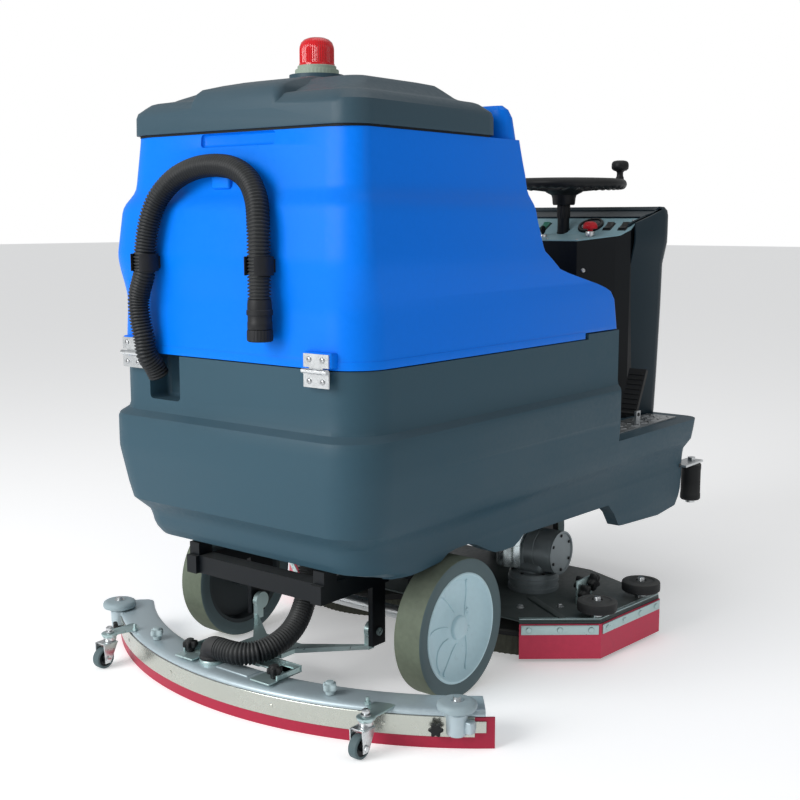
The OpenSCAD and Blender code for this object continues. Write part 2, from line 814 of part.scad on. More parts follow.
// Right-angle gear motors over the brushes
module brush_gearmotors() {
  color("#8f9496") both_sides() {
    post(brush_x, brush_y, deck_z + 0.3, deck_z + 46, 64);
    bar_x(brush_x - 4, 316, brush_y - 3, 204, 54);
    block([brush_x - 30, brush_y - 40, deck_z + 45], [brush_x + 50, brush_y + 40, 205]);
    post(brush_x - 48, brush_y + 15, 160, 325, 45);
    post(brush_x, brush_y, deck_z - 38, deck_z + 10, 12);
  }
}

// Disc brush: drive hub, plate and bristles
module brush_shape() {
  color("#3c3f35") difference() {
    union() {
      post(0, 0, 0, 42, brush_d / 2);
      post(0, 0, 42, 58, brush_d / 2 - 12);
      post(0, 0, 58, 84, 40);
    }
    post(0, 0, -1, 36, 70);
    post(0, 0, 35, 90, 12 + fit);
  }
}
module brush_left() { translate([brush_x, brush_y, 0]) brush_shape(); }
module brush_right() { translate([-brush_x, brush_y, 0]) brush_shape(); }

// Guard roller of the deck
module deck_roller(x, y) {
  color("#17191b") difference() {
    post(x, y, deck_z + 16, deck_z + 42, deck_roller_r);
    post(x, y, deck_z, deck_z + 80, 8 + fit);
  }
}
module deck_roller_rear_left() { deck_roller(478, 32); }
module deck_roller_rear_right() { deck_roller(-478, 32); }
module deck_roller_front_left() { deck_roller(487, -172); }
module deck_roller_front_right() { deck_roller(-487, -172); }

// ---- squeegee ---------------------------------------------------------------------------------

// Y-shaped arm with its swing plate and pin
module squeegee_arm() {
  color("#9da2a4") {
    both_sides() {
      bar_x(arm_x - 6, arm_x + 24, arm_y, arm_z, 9);
      bar_x(arm_x - 6, arm_x + 6, arm_y, arm_z, 20);
      translate([0, 0, 89]) linear_extrude(height = 10)
        polygon([[arm_x - 6, 505], [arm_x + 6, 505], [62, 625], [62, 600], [40, 600]]);
      block([arm_x - 6, 488, 89], [arm_x + 6, 508, arm_z]);
    }
    block([-64, 590, 89], [64, 665, 99]);
    post(0, swing_y, 66, 98, 10);
    post(0, swing_y, 66, 70, 16);
  }
}

// A curved bar of the squeegee, between two radii about the curve's centre
module curved_bar(r0, r1, z0, z1, half) {
  translate([0, squeegee_cy, z0]) rotate([0, 0, 90 - half])
    rotate_extrude(angle = 2 * half, $fn = 180) translate([r0, 0]) square([r1 - r0, z1 - z0]);
}

// Curved aluminium body with its vacuum port, centre bracket and caster brackets
module squeegee_body() {
  color("#a7adb0") difference() {
    union() {
      curved_bar(squeegee_r - 84, squeegee_r - blade_t - 1, 66, 74, blade_half - 1.2);
      curved_bar(squeegee_r - 66, squeegee_r - 20, 73, 84, blade_half - 7.5);
      curved_bar(squeegee_r - 83, squeegee_r - 79.2, 30, 67, blade_half - 3);
      curved_bar(squeegee_r - blade_t - 5, squeegee_r - blade_t - 1.5, 30, 67, blade_half - 1.4);
      // Blade strap with its ends
      curved_bar(squeegee_r + 0.3, squeegee_r + 2.3, 34, 66, blade_half - 1.5);
      // Centre bracket and its tongue
      round_plate(142, 684, 786, 83.5, 88, 14);
      block([-30, swing_y - 26, 72], [30, 700, 84]);
      // Port under the elbow
      post(port_x, 752, 80, 88.5, 30);
      both_sides() {
        // Caster bracket
        block([caster_x - 16, 690, 73.9], [caster_x + 16, caster_y - 6, 79]);
        post(caster_x, caster_y - 20, 73.9, 79, 18);
        // End casting under the roller
        block([end_roller_x - 22, 590, 68], [end_roller_x + 24, 668, 76]);
        post(end_roller_x, end_roller_y, 70, 112, 7);
      }
    }
    post(0, swing_y, 60, 100, 10 + fit);
    both_sides() post(caster_x, caster_y - 20, 60, 100, 5 + fit);
    post(port_x, 752, 60, 110, 17);
  }
}

// Front and rear rubber blades
module squeegee_blades() {
  color("#a3202f") {
    curved_bar(squeegee_r - blade_t, squeegee_r, 0, 64, blade_half);
    curved_bar(squeegee_r - 79, squeegee_r - 79 + 4, 0, 62, blade_half - 3);
  }
}

// Star knobs, port elbow and stud nuts on top of the squeegee
module squeegee_knobs() {
  color("#1a1c1e") both_sides() {
    star_knob(128, 752, 88.3, 17);
    star_knob(262, 732, 84.3, 17);
  }
  color("#1a1c1e") difference() {
    union() {
      post(port_x, 752, 89, 114, 25);
      bar_x(34, port_x, 752, 114, 25);
      translate([port_x, 752, 114]) sphere(25);
    }
    post(port_x, 752, 80, 114, 20);
    bar_x(34, port_x, 752, 114, 20);
  }
}

module star_knob(x, y, z, r) {
  translate([x, y, z]) {
    cylinder(h = 12, r = 9);
    translate([0, 0, 11]) linear_extrude(height = 14)
      polygon([for (a = [0 : 12 : 348]) r * (0.87 + 0.13 * cos(5 * a)) * [cos(a), sin(a)]]);
  }
}

// Swivel fork of a caster
module caster_fork(s) {
  color("#b4b9bb") translate([s * caster_x, caster_y - 20, 0]) {
    cylinder_at(50, 94, 5);
    cylinder_at(60, 73.7, 13);
    cylinder_at(79.3, 85, 10);
    translate([0, 8, 56]) block([-17, -16, 0], [17, 20, 4]);
    for (x = [-17, 14]) side_prism(x, x + 3, [[-8, 58], [28, 58], [28, 16], [14, 16]]);
    bar_x(-17, 17, 20, 24, 4);
  }
}
module caster_fork_left() { caster_fork(1); }
module caster_fork_right() { caster_fork(-1); }

// Caster wheel
module caster_wheel(s) {
  color("#8d9396") difference() {
    bar_x(s * caster_x - 10, s * caster_x + 10, caster_y, 24, 24);
    bar_x(s * caster_x - 20, s * caster_x + 20, caster_y, 24, 4 + fit);
  }
}
module caster_wheel_left() { caster_wheel(1); }
module caster_wheel_right() { caster_wheel(-1); }

// Wall roller at the squeegee's end
module end_roller(s) {
  color("#9aa1a4") translate([s * end_roller_x, end_roller_y, 0]) difference() {
    union() {
      cylinder_at(80, 100, 40);
      cylinder_at(100, 109, 20);
    }
    cylinder_at(70, 120, 7 + fit);
  }
}
module end_roller_left() { end_roller(1); }
module end_roller_right() { end_roller(-1); }

frame();
solution_tank();
battery_pack();
front_cowl();
column_housing();
control_panel();
pedal_base();
bumper_brackets();
lower_hinges();
rear_axle();
lift_actuator();
vacuum_hose();
recovery_tank();
seat_pads();
upper_hinges();
hose_clips();
suction_unit();
drain_hose();
drain_cuff();
drain_cap();
tank_lid();
beacon_base();
beacon_dome();
steering_wheel();
steering_shaft();
spinner_knob();
drive_fork();
drive_wheel();
rear_tyre_left();
rear_hub_left();
rear_tyre_right();
rear_hub_right();
accelerator_pedal();
emergency_stop();
key();
direction_switch();
vacuum_switch();
brush_switch();
bumper_roller_left();
bumper_roller_right();
deck_link();
deck_plate();
deck_skirt();
brush_gearmotors();
brush_left();
brush_right();
deck_roller_rear_left();
deck_roller_rear_right();
deck_roller_front_left();
deck_roller_front_right();
squeegee_arm();
squeegee_body();
squeegee_blades();
squeegee_knobs();
caster_fork_left();
caster_fork_right();
caster_wheel_left();
caster_wheel_right();
end_roller_left();
end_roller_right();
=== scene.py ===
# Ride-on floor scrubber dryer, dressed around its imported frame.
import math

import bpy
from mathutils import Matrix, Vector


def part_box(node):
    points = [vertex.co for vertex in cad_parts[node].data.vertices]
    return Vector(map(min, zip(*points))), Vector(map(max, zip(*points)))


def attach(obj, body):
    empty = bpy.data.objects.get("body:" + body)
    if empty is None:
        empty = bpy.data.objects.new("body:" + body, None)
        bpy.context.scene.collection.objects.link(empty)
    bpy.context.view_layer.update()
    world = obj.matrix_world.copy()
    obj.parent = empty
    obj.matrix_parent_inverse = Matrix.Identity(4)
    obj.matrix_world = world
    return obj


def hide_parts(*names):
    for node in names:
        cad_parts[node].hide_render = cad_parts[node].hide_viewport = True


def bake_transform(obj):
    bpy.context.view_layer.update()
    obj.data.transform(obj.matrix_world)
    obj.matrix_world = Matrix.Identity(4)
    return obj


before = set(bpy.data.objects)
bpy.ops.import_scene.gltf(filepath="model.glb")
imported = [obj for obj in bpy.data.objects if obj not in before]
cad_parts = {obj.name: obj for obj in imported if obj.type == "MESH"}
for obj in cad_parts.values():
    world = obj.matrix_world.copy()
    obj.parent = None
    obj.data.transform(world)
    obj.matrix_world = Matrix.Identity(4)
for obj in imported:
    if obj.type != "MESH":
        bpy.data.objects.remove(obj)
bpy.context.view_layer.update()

# ---- Camera, studio floor and light ------------------------------------------------------
# The camera stands behind the machine's right rear corner, at chest height.
# Two soft panels light it, one from behind and one from the side, over a pale floor.
bpy.ops.object.select_all(action="DESELECT")
bpy.ops.object.camera_add(location=(-1.8091, 2.4686, 1.0217))
camera = bpy.context.object
look = Vector((0.612, -0.777, -0.1465))
camera.rotation_euler = look.to_track_quat("-Z", "Y").to_euler()
camera.data.lens = 54.49
camera.data.sensor_width = 36
bpy.context.scene.camera = camera
bpy.context.scene.view_settings.view_transform = "Standard"

bpy.ops.mesh.primitive_plane_add(size=90)
floor = bpy.context.object
floor.name = "studio_floor"
bpy.ops.object.mode_set(mode="EDIT")
bpy.ops.mesh.subdivide(number_cuts=3)
bpy.ops.object.mode_set(mode="OBJECT")


def new_material(name, colour, roughness, metallic=0.0):
    material = bpy.data.materials.new(name)
    material.use_nodes = True
    shader = material.node_tree.nodes["Principled BSDF"]
    shader.inputs["Base Color"].default_value = (*colour, 1)
    shader.inputs["Roughness"].default_value = roughness
    shader.inputs["Metallic"].default_value = metallic
    shader.inputs["Specular IOR Level"].default_value = 0.5 if metallic else 0.2
    return material, shader


def wire(material, start, end):
    material.node_tree.links.new(start, end)


floor_paint, floor_shader = new_material("studio_paint", (0.9, 0.9, 0.9), 0.9)
floor_shader.inputs["Emission Color"].default_value = (1, 1, 1, 1)
floor_shader.inputs["Emission Strength"].default_value = 0.30
floor_noise = floor_paint.node_tree.nodes.new("ShaderNodeTexNoise")
floor_noise.inputs["Scale"].default_value = 3
floor_ramp = floor_paint.node_tree.nodes.new("ShaderNodeValToRGB")
floor_ramp.color_ramp.elements[0].color = (0.94, 0.94, 0.94, 1)
floor_ramp.color_ramp.elements[1].color = (0.97, 0.97, 0.97, 1)
wire(floor_paint, floor_noise.outputs["Fac"], floor_ramp.inputs["Fac"])
wire(floor_paint, floor_ramp.outputs["Color"], floor_shader.inputs["Base Color"])
floor.data.materials.append(floor_paint)

world = bpy.data.worlds.new("studio_air")
world.use_nodes = True
world.node_tree.nodes["Background"].inputs["Color"].default_value = (0.97, 0.985, 1, 1)
world.node_tree.nodes["Background"].inputs["Strength"].default_value = 0.42
# The studio's own backdrop is plain white card, brighter than the light it gives
card = world.node_tree.nodes.new("ShaderNodeBackground")
card.inputs["Strength"].default_value = 1.25
kind = world.node_tree.nodes.new("ShaderNodeLightPath")
swap = world.node_tree.nodes.new("ShaderNodeMixShader")
world.node_tree.links.new(kind.outputs["Is Camera Ray"], swap.inputs["Fac"])
world.node_tree.links.new(world.node_tree.nodes["Background"].outputs[0], swap.inputs[1])
world.node_tree.links.new(card.outputs[0], swap.inputs[2])
world.node_tree.links.new(swap.outputs[0], world.node_tree.nodes["World Output"].inputs[0])
bpy.context.scene.world = world
for lamp_name, place, target, size, power in [
        ("rear_panel", (1.0, 4.2, 2.2), (0, 0.3, 0.6), 2.6, 150),
        ("side_panel", (-4.0, 0.6, 2.4), (0, 0, 0.6), 2.2, 9),
        ("top_panel", (0.0, -0.4, 4.0), (0, 0, 0.6), 2.6, 16)]:
    bpy.ops.object.light_add(type="AREA", location=place)
    lamp = bpy.context.object
    lamp.name = lamp_name
    lamp.data.size = size
    lamp.data.energy = power
    lamp.rotation_euler = (Vector(target) - Vector(place)).to_track_quat("-Z", "Y").to_euler()


# ---- Surface effects shared by the finishes ----------------------------------------------
# Moulded plastics and paints get a fine grain, a slow drift of tone and a little dust on
# what faces up. Each finish places these groups with its own values.
def effect_group(name, inputs, outputs):
    group = bpy.data.node_groups.new(name, "ShaderNodeTree")
    for socket, kind, value in inputs:
        made = group.interface.new_socket(socket, in_out="INPUT", socket_type=kind)
        made.default_value = value
    for socket, kind in outputs:
        group.interface.new_socket(socket, in_out="OUTPUT", socket_type=kind)
    return group, group.nodes.new("NodeGroupInput"), group.nodes.new("NodeGroupOutput")


# Colour that drifts between two tones, with fine specks and dust on upward faces
tone_group, tone_in, tone_out = effect_group("tone_drift", [
    ("Colour", "NodeSocketColor", (0.5, 0.5, 0.5, 1)), ("Drift", "NodeSocketFloat", 0.12),
    ("Dust", "NodeSocketFloat", 0.1), ("Scale", "NodeSocketFloat", 6.0),
    ("Roughness", "NodeSocketFloat", 0.5)],
    [("Colour", "NodeSocketColor"), ("Roughness", "NodeSocketFloat")])
tn = tone_group.nodes
tl = tone_group.links
spot = tn.new("ShaderNodeTexCoord")
slow = tn.new("ShaderNodeTexNoise")
slow.inputs["Detail"].default_value = 5
tl.new(spot.outputs["Object"], slow.inputs["Vector"])
tl.new(tone_in.outputs["Scale"], slow.inputs["Scale"])
quick = tn.new("ShaderNodeTexNoise")
quick.inputs["Scale"].default_value = 90
quick.inputs["Detail"].default_value = 3
tl.new(spot.outputs["Object"], quick.inputs["Vector"])
both = tn.new("ShaderNodeMath")
both.operation = "ADD"
tl.new(slow.outputs["Fac"], both.inputs[0])
tl.new(quick.outputs["Fac"], both.inputs[1])
centred = tn.new("ShaderNodeMath")
centred.operation = "SUBTRACT"
centred.inputs[1].default_value = 1.0
tl.new(both.outputs[0], centred.inputs[0])
swing = tn.new("ShaderNodeMath")
swing.operation = "MULTIPLY_ADD"
swing.inputs[2].default_value = 1.0
tl.new(centred.outputs[0], swing.inputs[0])
tl.new(tone_in.outputs["Drift"], swing.inputs[1])
shade = tn.new("ShaderNodeHueSaturation")
tl.new(tone_in.outputs["Colour"], shade.inputs["Color"])
tl.new(swing.outputs[0], shade.inputs["Value"])
facing = tn.new("ShaderNodeNewGeometry")
up = tn.new("ShaderNodeSeparateXYZ")
tl.new(facing.outputs["Normal"], up.inputs[0])
settled = tn.new("ShaderNodeMath")
settled.operation = "MULTIPLY"
settled.use_clamp = True
tl.new(up.outputs["Z"], settled.inputs[0])
tl.new(slow.outputs["Fac"], settled.inputs[1])
dusty = tn.new("ShaderNodeMath")
dusty.operation = "MULTIPLY"
dusty.use_clamp = True
tl.new(settled.outputs[0], dusty.inputs[0])
tl.new(tone_in.outputs["Dust"], dusty.inputs[1])
dust_mix = tn.new("ShaderNodeMix")
dust_mix.data_type = "RGBA"
dust_mix.inputs["B"].default_value = (0.42, 0.42, 0.4, 1)
tl.new(dusty.outputs[0], dust_mix.inputs["Factor"])
tl.new(shade.outputs["Color"], dust_mix.inputs["A"])
tl.new(dust_mix.outputs["Result"], tone_out.inputs["Colour"])
rubbed = tn.new("ShaderNodeMath")
rubbed.operation = "MULTIPLY_ADD"
rubbed.inputs[1].default_value = 0.22
tl.new(centred.outputs[0], rubbed.inputs[0])
tl.new(tone_in.outputs["Roughness"], rubbed.inputs[2])
tl.new(rubbed.outputs[0], tone_out.inputs["Roughness"])

# Raised grain: a fine orange-peel or a leather-like cell pattern as a height
grain_group, grain_in, grain_out = effect_group("grain_height", [
    ("Scale", "NodeSocketFloat", 300.0), ("Cells", "NodeSocketFloat", 0.0)],
    [("Height", "NodeSocketFloat")])
gn = grain_group.nodes
gl = grain_group.links
where = gn.new("ShaderNodeTexCoord")
peel = gn.new("ShaderNodeTexNoise")
peel.inputs["Detail"].default_value = 4
gl.new(where.outputs["Object"], peel.inputs["Vector"])
gl.new(grain_in.outputs["Scale"], peel.inputs["Scale"])
cells = gn.new("ShaderNodeTexVoronoi")
gl.new(where.outputs["Object"], cells.inputs["Vector"])
gl.new(grain_in.outputs["Scale"], cells.inputs["Scale"])
grain_mix = gn.new("ShaderNodeMix")
gl.new(grain_in.outputs["Cells"], grain_mix.inputs["Factor"])
gl.new(peel.outputs["Fac"], grain_mix.inputs["A"])
gl.new(cells.outputs["Distance"], grain_mix.inputs["B"])
gl.new(grain_mix.outputs["Result"], grain_out.inputs["Height"])


# Every finish of the machine: a colour and a roughness, and how far the effects go on it
def finish_of(name, colour, roughness, metallic=0.0, drift=0.12, dust=0.1, scale=6.0,
              grain=320.0, cells=0.0, bump=0.12, depth=0.0006):
    material, shader = new_material(name, colour, roughness, metallic)
    nodes = material.node_tree.nodes
    tone = nodes.new("ShaderNodeGroup")
    tone.node_tree = tone_group
    tone.inputs["Colour"].default_value = (*colour, 1)
    tone.inputs["Drift"].default_value = drift
    tone.inputs["Dust"].default_value = dust
    tone.inputs["Scale"].default_value = scale
    tone.inputs["Roughness"].default_value = roughness
    wire(material, tone.outputs["Colour"], shader.inputs["Base Color"])
    wire(material, tone.outputs["Roughness"], shader.inputs["Roughness"])
    height = nodes.new("ShaderNodeGroup")
    height.node_tree = grain_group
    height.inputs["Scale"].default_value = grain
    height.inputs["Cells"].default_value = cells
    relief = nodes.new("ShaderNodeBump")
    relief.inputs["Strength"].default_value = bump
    relief.inputs["Distance"].default_value = depth
    wire(material, height.outputs["Height"], relief.inputs["Height"])
    wire(material, relief.outputs["Normal"], shader.inputs["Normal"])
    return material


def coat(node, material):
    # Gives a CAD node that shows as it is its finish
    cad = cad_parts[node]
    cad.data.materials.clear()
    cad.data.materials.append(material)


# ---- Drain hose and vacuum hose ----------------------------------------------------------
# Corrugated black rubber hoses of 43 and 46 mm. The drain hose leaves the tank's foot,
# goes over the tank through two clips and ends in a capped cuff; the other feeds the squeegee.
def only(*obs):
    # Selects these pieces alone, so that the next operator leaves the rest as they are
    bpy.ops.object.select_all(action="DESELECT")
    for ob in obs:
        ob.select_set(True)
    bpy.context.view_layer.objects.active = obs[0]


def baked(ob):
    # Puts the piece's place, turn and scale into its mesh
    only(ob)
    bpy.ops.object.transform_apply(location=True, rotation=True, scale=True)
    return ob


def smooth_route(corners, steps=6):
    # A rounded line through the corners, which are in millimetres
    points = []
    for i in range(len(corners) - 1):
        p0, p1, p2, p3 = (Vector(corners[max(0, min(len(corners) - 1, i + k))])
                          for k in (-1, 0, 1, 2))
        for s in range(steps):
            t = s / steps
            points.append(0.5 * (2 * p1 + (p2 - p0) * t + (2 * p0 - 5 * p1 + 4 * p2 - p3) * t * t
                                 + (3 * p1 - p0 - 3 * p2 + p3) * t ** 3))
    points.append(Vector(corners[-1]))
    return [p * 0.001 for p in points]


def along(points, name):
    curve = bpy.data.curves.new(name, "CURVE")
    curve.dimensions = "3D"
    curve.twist_mode = "MINIMUM"
    line = curve.splines.new("POLY")
    line.points.add(len(points) - 1)
    for place, p in zip(line.points, points):
        place.co = (*p, 1)
    made = bpy.data.objects.new(name, curve)
    bpy.context.scene.collection.objects.link(made)
    return made


def run_length(points):
    return sum((b - a).length for a, b in zip(points, points[1:]))


def hose(name, points, radius, pitch, groove, sides=28):
    # One rib is a short tube with a raised round back; it is repeated and laid on the route
    length = run_length(points)
    ribs = round(length / pitch)
    step = length / ribs
    bpy.ops.object.select_all(action="DESELECT")
    bpy.ops.mesh.primitive_cylinder_add(vertices=sides, radius=radius - groove, depth=step,
                                        end_fill_type="NOTHING", location=(step / 2, 0, 0),
                                        rotation=(0, math.pi / 2, 0))
    tube = bpy.context.object
    tube.name = name
    bpy.ops.object.transform_apply(location=True, rotation=True, scale=True)
    bpy.ops.object.mode_set(mode="EDIT")
    for cut, swell in [(0.25, radius - 0.25 * groove), (0.5, radius),
                       (0.75, radius - 0.25 * groove)]:
        bpy.ops.mesh.select_all(action="SELECT")
        bpy.ops.mesh.bisect(plane_co=(cut * step, 0, 0), plane_no=(1, 0, 0))
        ratio = swell / (radius - groove)
        bpy.ops.transform.resize(value=(1, ratio, ratio), center_override=(cut * step, 0, 0))
    bpy.ops.object.mode_set(mode="OBJECT")
    repeat = tube.modifiers.new("ribs", "ARRAY")
    repeat.count = ribs
    repeat.use_merge_vertices = True
    repeat.merge_threshold = 0.0003
    bpy.ops.object.modifier_apply(modifier=repeat.name)
    bpy.ops.object.mode_set(mode="EDIT")
    bpy.ops.mesh.select_all(action="DESELECT")
    bpy.ops.mesh.select_non_manifold()
    bpy.ops.mesh.fill_holes(sides=0)
    bpy.ops.mesh.select_all(action="SELECT")
    bpy.ops.mesh.normals_make_consistent(inside=False)
    bpy.ops.object.mode_set(mode="OBJECT")
    guide = along(points, name + "_line")
    bend = tube.modifiers.new("route", "CURVE")
    bend.object = guide
    bpy.ops.object.modifier_apply(modifier=bend.name)
    bpy.data.objects.remove(guide)
    bpy.ops.object.shade_smooth()
    return tube


hose_rubber = finish_of("hose_rubber", (0.012, 0.014, 0.016), 0.42, drift=0.5, dust=0.25,
                        grain=500, bump=0.1)
drain_route = smooth_route([
    (204, 752, 690), (206, 765, 715), (209, 780, 738), (212, 785, 775), (220, 787, 815),
    (222, 787, 860), (203, 786, 912), (201, 786, 935), (199, 786, 958), (194, 782, 1000),
    (184, 776, 1040), (166, 768, 1075), (130, 757, 1108), (80, 750, 1127), (22, 747, 1132),
    (-36, 750, 1124), (-84, 758, 1100), (-116, 770, 1062), (-131, 781, 1018), (-136, 786, 975),
    (-136, 786, 935), (-136, 786, 900), (-136, 786, 870)])
drain_hose = hose("drain_hose_ribbed", drain_route, 0.0215, 0.0068, 0.0028)
drain_hose.data.materials.append(hose_rubber)
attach(drain_hose, "recovery_tank_body")
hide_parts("drain_hose")

vacuum_route = smooth_route([
    (-40, 548, 300), (-42, 550, 262), (-46, 560, 220), (-54, 582, 186), (-62, 612, 158),
    (-66, 648, 138), (-62, 690, 124), (-46, 725, 116), (-18, 747, 114), (10, 752, 114),
    (34, 752, 114)])
# Its last tenth of a metre is made as a piece of its own; on the machine that end bends as the
# squeegee swings
upper_run = 0.282
tail_from = next(i for i in range(len(vacuum_route))
                 if run_length(vacuum_route[:i + 1]) > upper_run)
vacuum_line = vacuum_route[:tail_from + 1]
vacuum_hose = hose("vacuum_hose_ribbed", vacuum_line, 0.023, 0.0072, 0.003)
vacuum_hose.data.materials.append(hose_rubber)
hose_tail = hose("vacuum_hose_tail", vacuum_route[tail_from:], 0.023, 0.0072, 0.003)
hose_tail.data.materials.append(hose_rubber)
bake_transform(hose_tail)
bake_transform(vacuum_hose)
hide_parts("vacuum_hose")
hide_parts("vacuum_hose")

# ---- Recovery tank -----------------------------------------------------------------------
# Rotomoulded blue polyethylene shell with rounded corners and swelling sides. Its level
# lines are stacked from the seam to the rim, and the driver's seat is sunk into its front.
def rounded_base(half_x, y0, y1, z, corner, nose=0.0):
    # A flat plan with its four corners rounded; nose is the front pair's radius if it differs
    bpy.ops.object.select_all(action="DESELECT")
    bpy.ops.mesh.primitive_plane_add(size=2, location=(0, (y0 + y1) / 2, z))
    ob = bpy.context.object
    ob.scale = (half_x, (y1 - y0) / 2, 1)
    baked(ob)
    for radius, rear in ((nose or corner, False), (corner, True)):
        bpy.ops.object.mode_set(mode="EDIT")
        bpy.ops.mesh.select_mode(type="VERT")
        bpy.ops.mesh.select_all(action="DESELECT")
        bpy.ops.object.mode_set(mode="OBJECT")
        for v in ob.data.vertices:
            v.select = (v.co.y > (y0 + y1) / 2) == rear
        bpy.ops.object.mode_set(mode="EDIT")
        bpy.ops.mesh.bevel(affect="VERTICES", offset=radius, segments=7)
    bpy.ops.mesh.select_all(action="SELECT")
    return ob


def close_edit():
    bpy.ops.mesh.select_all(action="SELECT")
    bpy.ops.mesh.remove_doubles(threshold=0.00005)
    bpy.ops.mesh.normals_make_consistent(inside=False)
    bpy.ops.object.mode_set(mode="OBJECT")


def moulding(levels, corner, nose=0.0):
    # Each level is (z, half width, front y, rear y); the cap is drawn up and fitted to it
    z, w, y0, y1 = levels[0]
    made = rounded_base(w, y0, y1, z, corner, nose)
    for nz, nw, ny0, ny1 in levels[1:]:
        bpy.ops.mesh.extrude_region_move(TRANSFORM_OT_translate={"value": (0, 0, nz - z)})
        bpy.ops.transform.resize(value=(nw / w, (ny1 - ny0) / (y1 - y0), 1),
                                 center_override=(0, (y0 + y1) / 2, nz))
        bpy.ops.transform.translate(value=(0, (ny0 + ny1 - y0 - y1) / 2, 0))
        z, w, y0, y1 = nz, nw, ny0, ny1
    close_edit()
    return made


def at_level(table, z):
    # The value at height z on a line of (z, value) corners, eased between them
    for (za, a), (zb, b) in zip(table, table[1:]):
        if z <= zb:
            return a + (b - a) * max(0.0, (z - za) / (zb - za))
    return table[-1][1]


def softened(table, z, reach):
    # The same line with its corners eased over a reach above and below
    steps = [-1, -0.6, -0.3, 0, 0.3, 0.6, 1]
    return sum(at_level(table, z + s * reach) for s in steps) / len(steps)


def carve(ob, tool, operation="DIFFERENCE"):
    # Takes the tool's shape out of the piece, or adds it, and uses the tool up
    cut = ob.modifiers.new("cut", "BOOLEAN")
    cut.operation = operation
    cut.solver = "EXACT"
    cut.object = tool
    only(ob)
    bpy.ops.object.modifier_apply(modifier=cut.name)
    bpy.data.objects.remove(tool)


def soft_box(low, high, edge, segments=4):
    # A box between two corners, with its edges rounded by edge
    bpy.ops.object.select_all(action="DESELECT")
    middle = [(a + b) / 2 for a, b in zip(low, high)]
    bpy.ops.mesh.primitive_cube_add(size=1, location=middle)
    ob = bpy.context.object
    ob.scale = [b - a for a, b in zip(low, high)]
    baked(ob)
    if edge:
        bpy.ops.object.mode_set(mode="EDIT")
        bpy.ops.mesh.select_all(action="SELECT")
        bpy.ops.mesh.bevel(offset=edge, segments=segments, affect="EDGES")
        bpy.ops.object.mode_set(mode="OBJECT")
    return ob


def round_edges(ob, width, segments=3, angle=35):
    # Rounds only the edges that turn by more than the angle
    bevel = ob.modifiers.new("rounding", "BEVEL")
    bevel.width = width
    bevel.segments = segments
    bevel.limit_method = "ANGLE"
    bevel.angle_limit = math.radians(angle)
    bevel.use_clamp_overlap = True
    only(ob)
    bpy.ops.object.modifier_apply(modifier=bevel.name)


def smooth(ob, angle=35):
    only(ob)
    bpy.ops.object.shade_smooth_by_angle(angle=math.radians(angle))


def dress(ob, name, material, body, *nodes):
    # Names a finished piece, gives it its finish and its body, and any CAD node it replaces
    ob.name = name
    ob.data.name = name
    ob.data.materials.clear()
    ob.data.materials.append(material)
    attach(ob, body)
    if nodes:
        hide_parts(*nodes)
    return ob


rear_line = [(0.7395, 0.755), (0.80, 0.7525), (0.856, 0.750), (0.942, 0.760), (1.053, 0.748),
             (1.081, 0.727), (1.154, 0.720), (1.198, 0.715)]
side_line = [(0.7395, 0.361), (0.856, 0.356), (0.942, 0.366), (1.053, 0.354), (1.081, 0.333),
             (1.154, 0.326), (1.198, 0.323)]
front_line = [(0.7395, -0.1055), (0.752, -0.1055), (0.7535, -0.262), (0.828, -0.252),
              (0.848, -0.234), (0.863, -0.194), (0.908, 0.018), (0.955, 0.099), (1.028, 0.120),
              (1.121, 0.129), (1.198, 0.147)]
tank_blue = finish_of("tank_blue", (0.0, 0.165, 0.76), 0.36, drift=0.07, dust=0.03, scale=3,
                      grain=420, bump=0.16, depth=0.0005)
tank_blue.node_tree.nodes["Principled BSDF"].inputs["Specular IOR Level"].default_value = 0.1
tank_corner, tank_nose = 0.085, 0.018
ease = 0.014
heights = [0.7535 + 0.0105 * i for i in range(43)]
heights = [h for h in heights if h < 1.196] + [1.198]
tank = moulding([(h, softened(side_line, h, ease), at_level(front_line, h),
                  softened(rear_line, h, ease)) for h in heights],
                tank_corner, nose=tank_nose)
# The foot below the seat's front step, down to the seam
foot = moulding([(0.7395, 0.361, -0.1055, 0.755), (0.756, 0.361, -0.1055, 0.755)], tank_corner,
                nose=tank_nose)
carve(tank, foot, "UNION")
# The upstand behind the driver's back
back_rest = moulding([(1.15, 0.326, 0.134, 0.209), (1.192, 0.322, 0.146, 0.208),
                      (1.245, 0.318, 0.160, 0.2065), (1.262, 0.312, 0.170, 0.206),
                      (1.2715, 0.300, 0.182, 0.198)], 0.033)
carve(tank, back_rest, "UNION")
seat_well = soft_box((-0.238, -0.34, 0.768), (0.238, 0.165, 1.40), 0.03)
carve(tank, seat_well)
finger_pocket = soft_box((-0.118, 0.708, 1.170), (0.094, 0.76, 1.1975), 0.008)
carve(tank, finger_pocket)
tank_mouth = soft_box((-0.312, 0.222, 1.05), (0.312, 0.700, 1.3), 0.04)
carve(tank, tank_mouth)
round_edges(tank, 0.004, 3, 38)
smooth(tank, 30)
dress(tank, "recovery_shell", tank_blue, "recovery_tank_body", "recovery_tank")

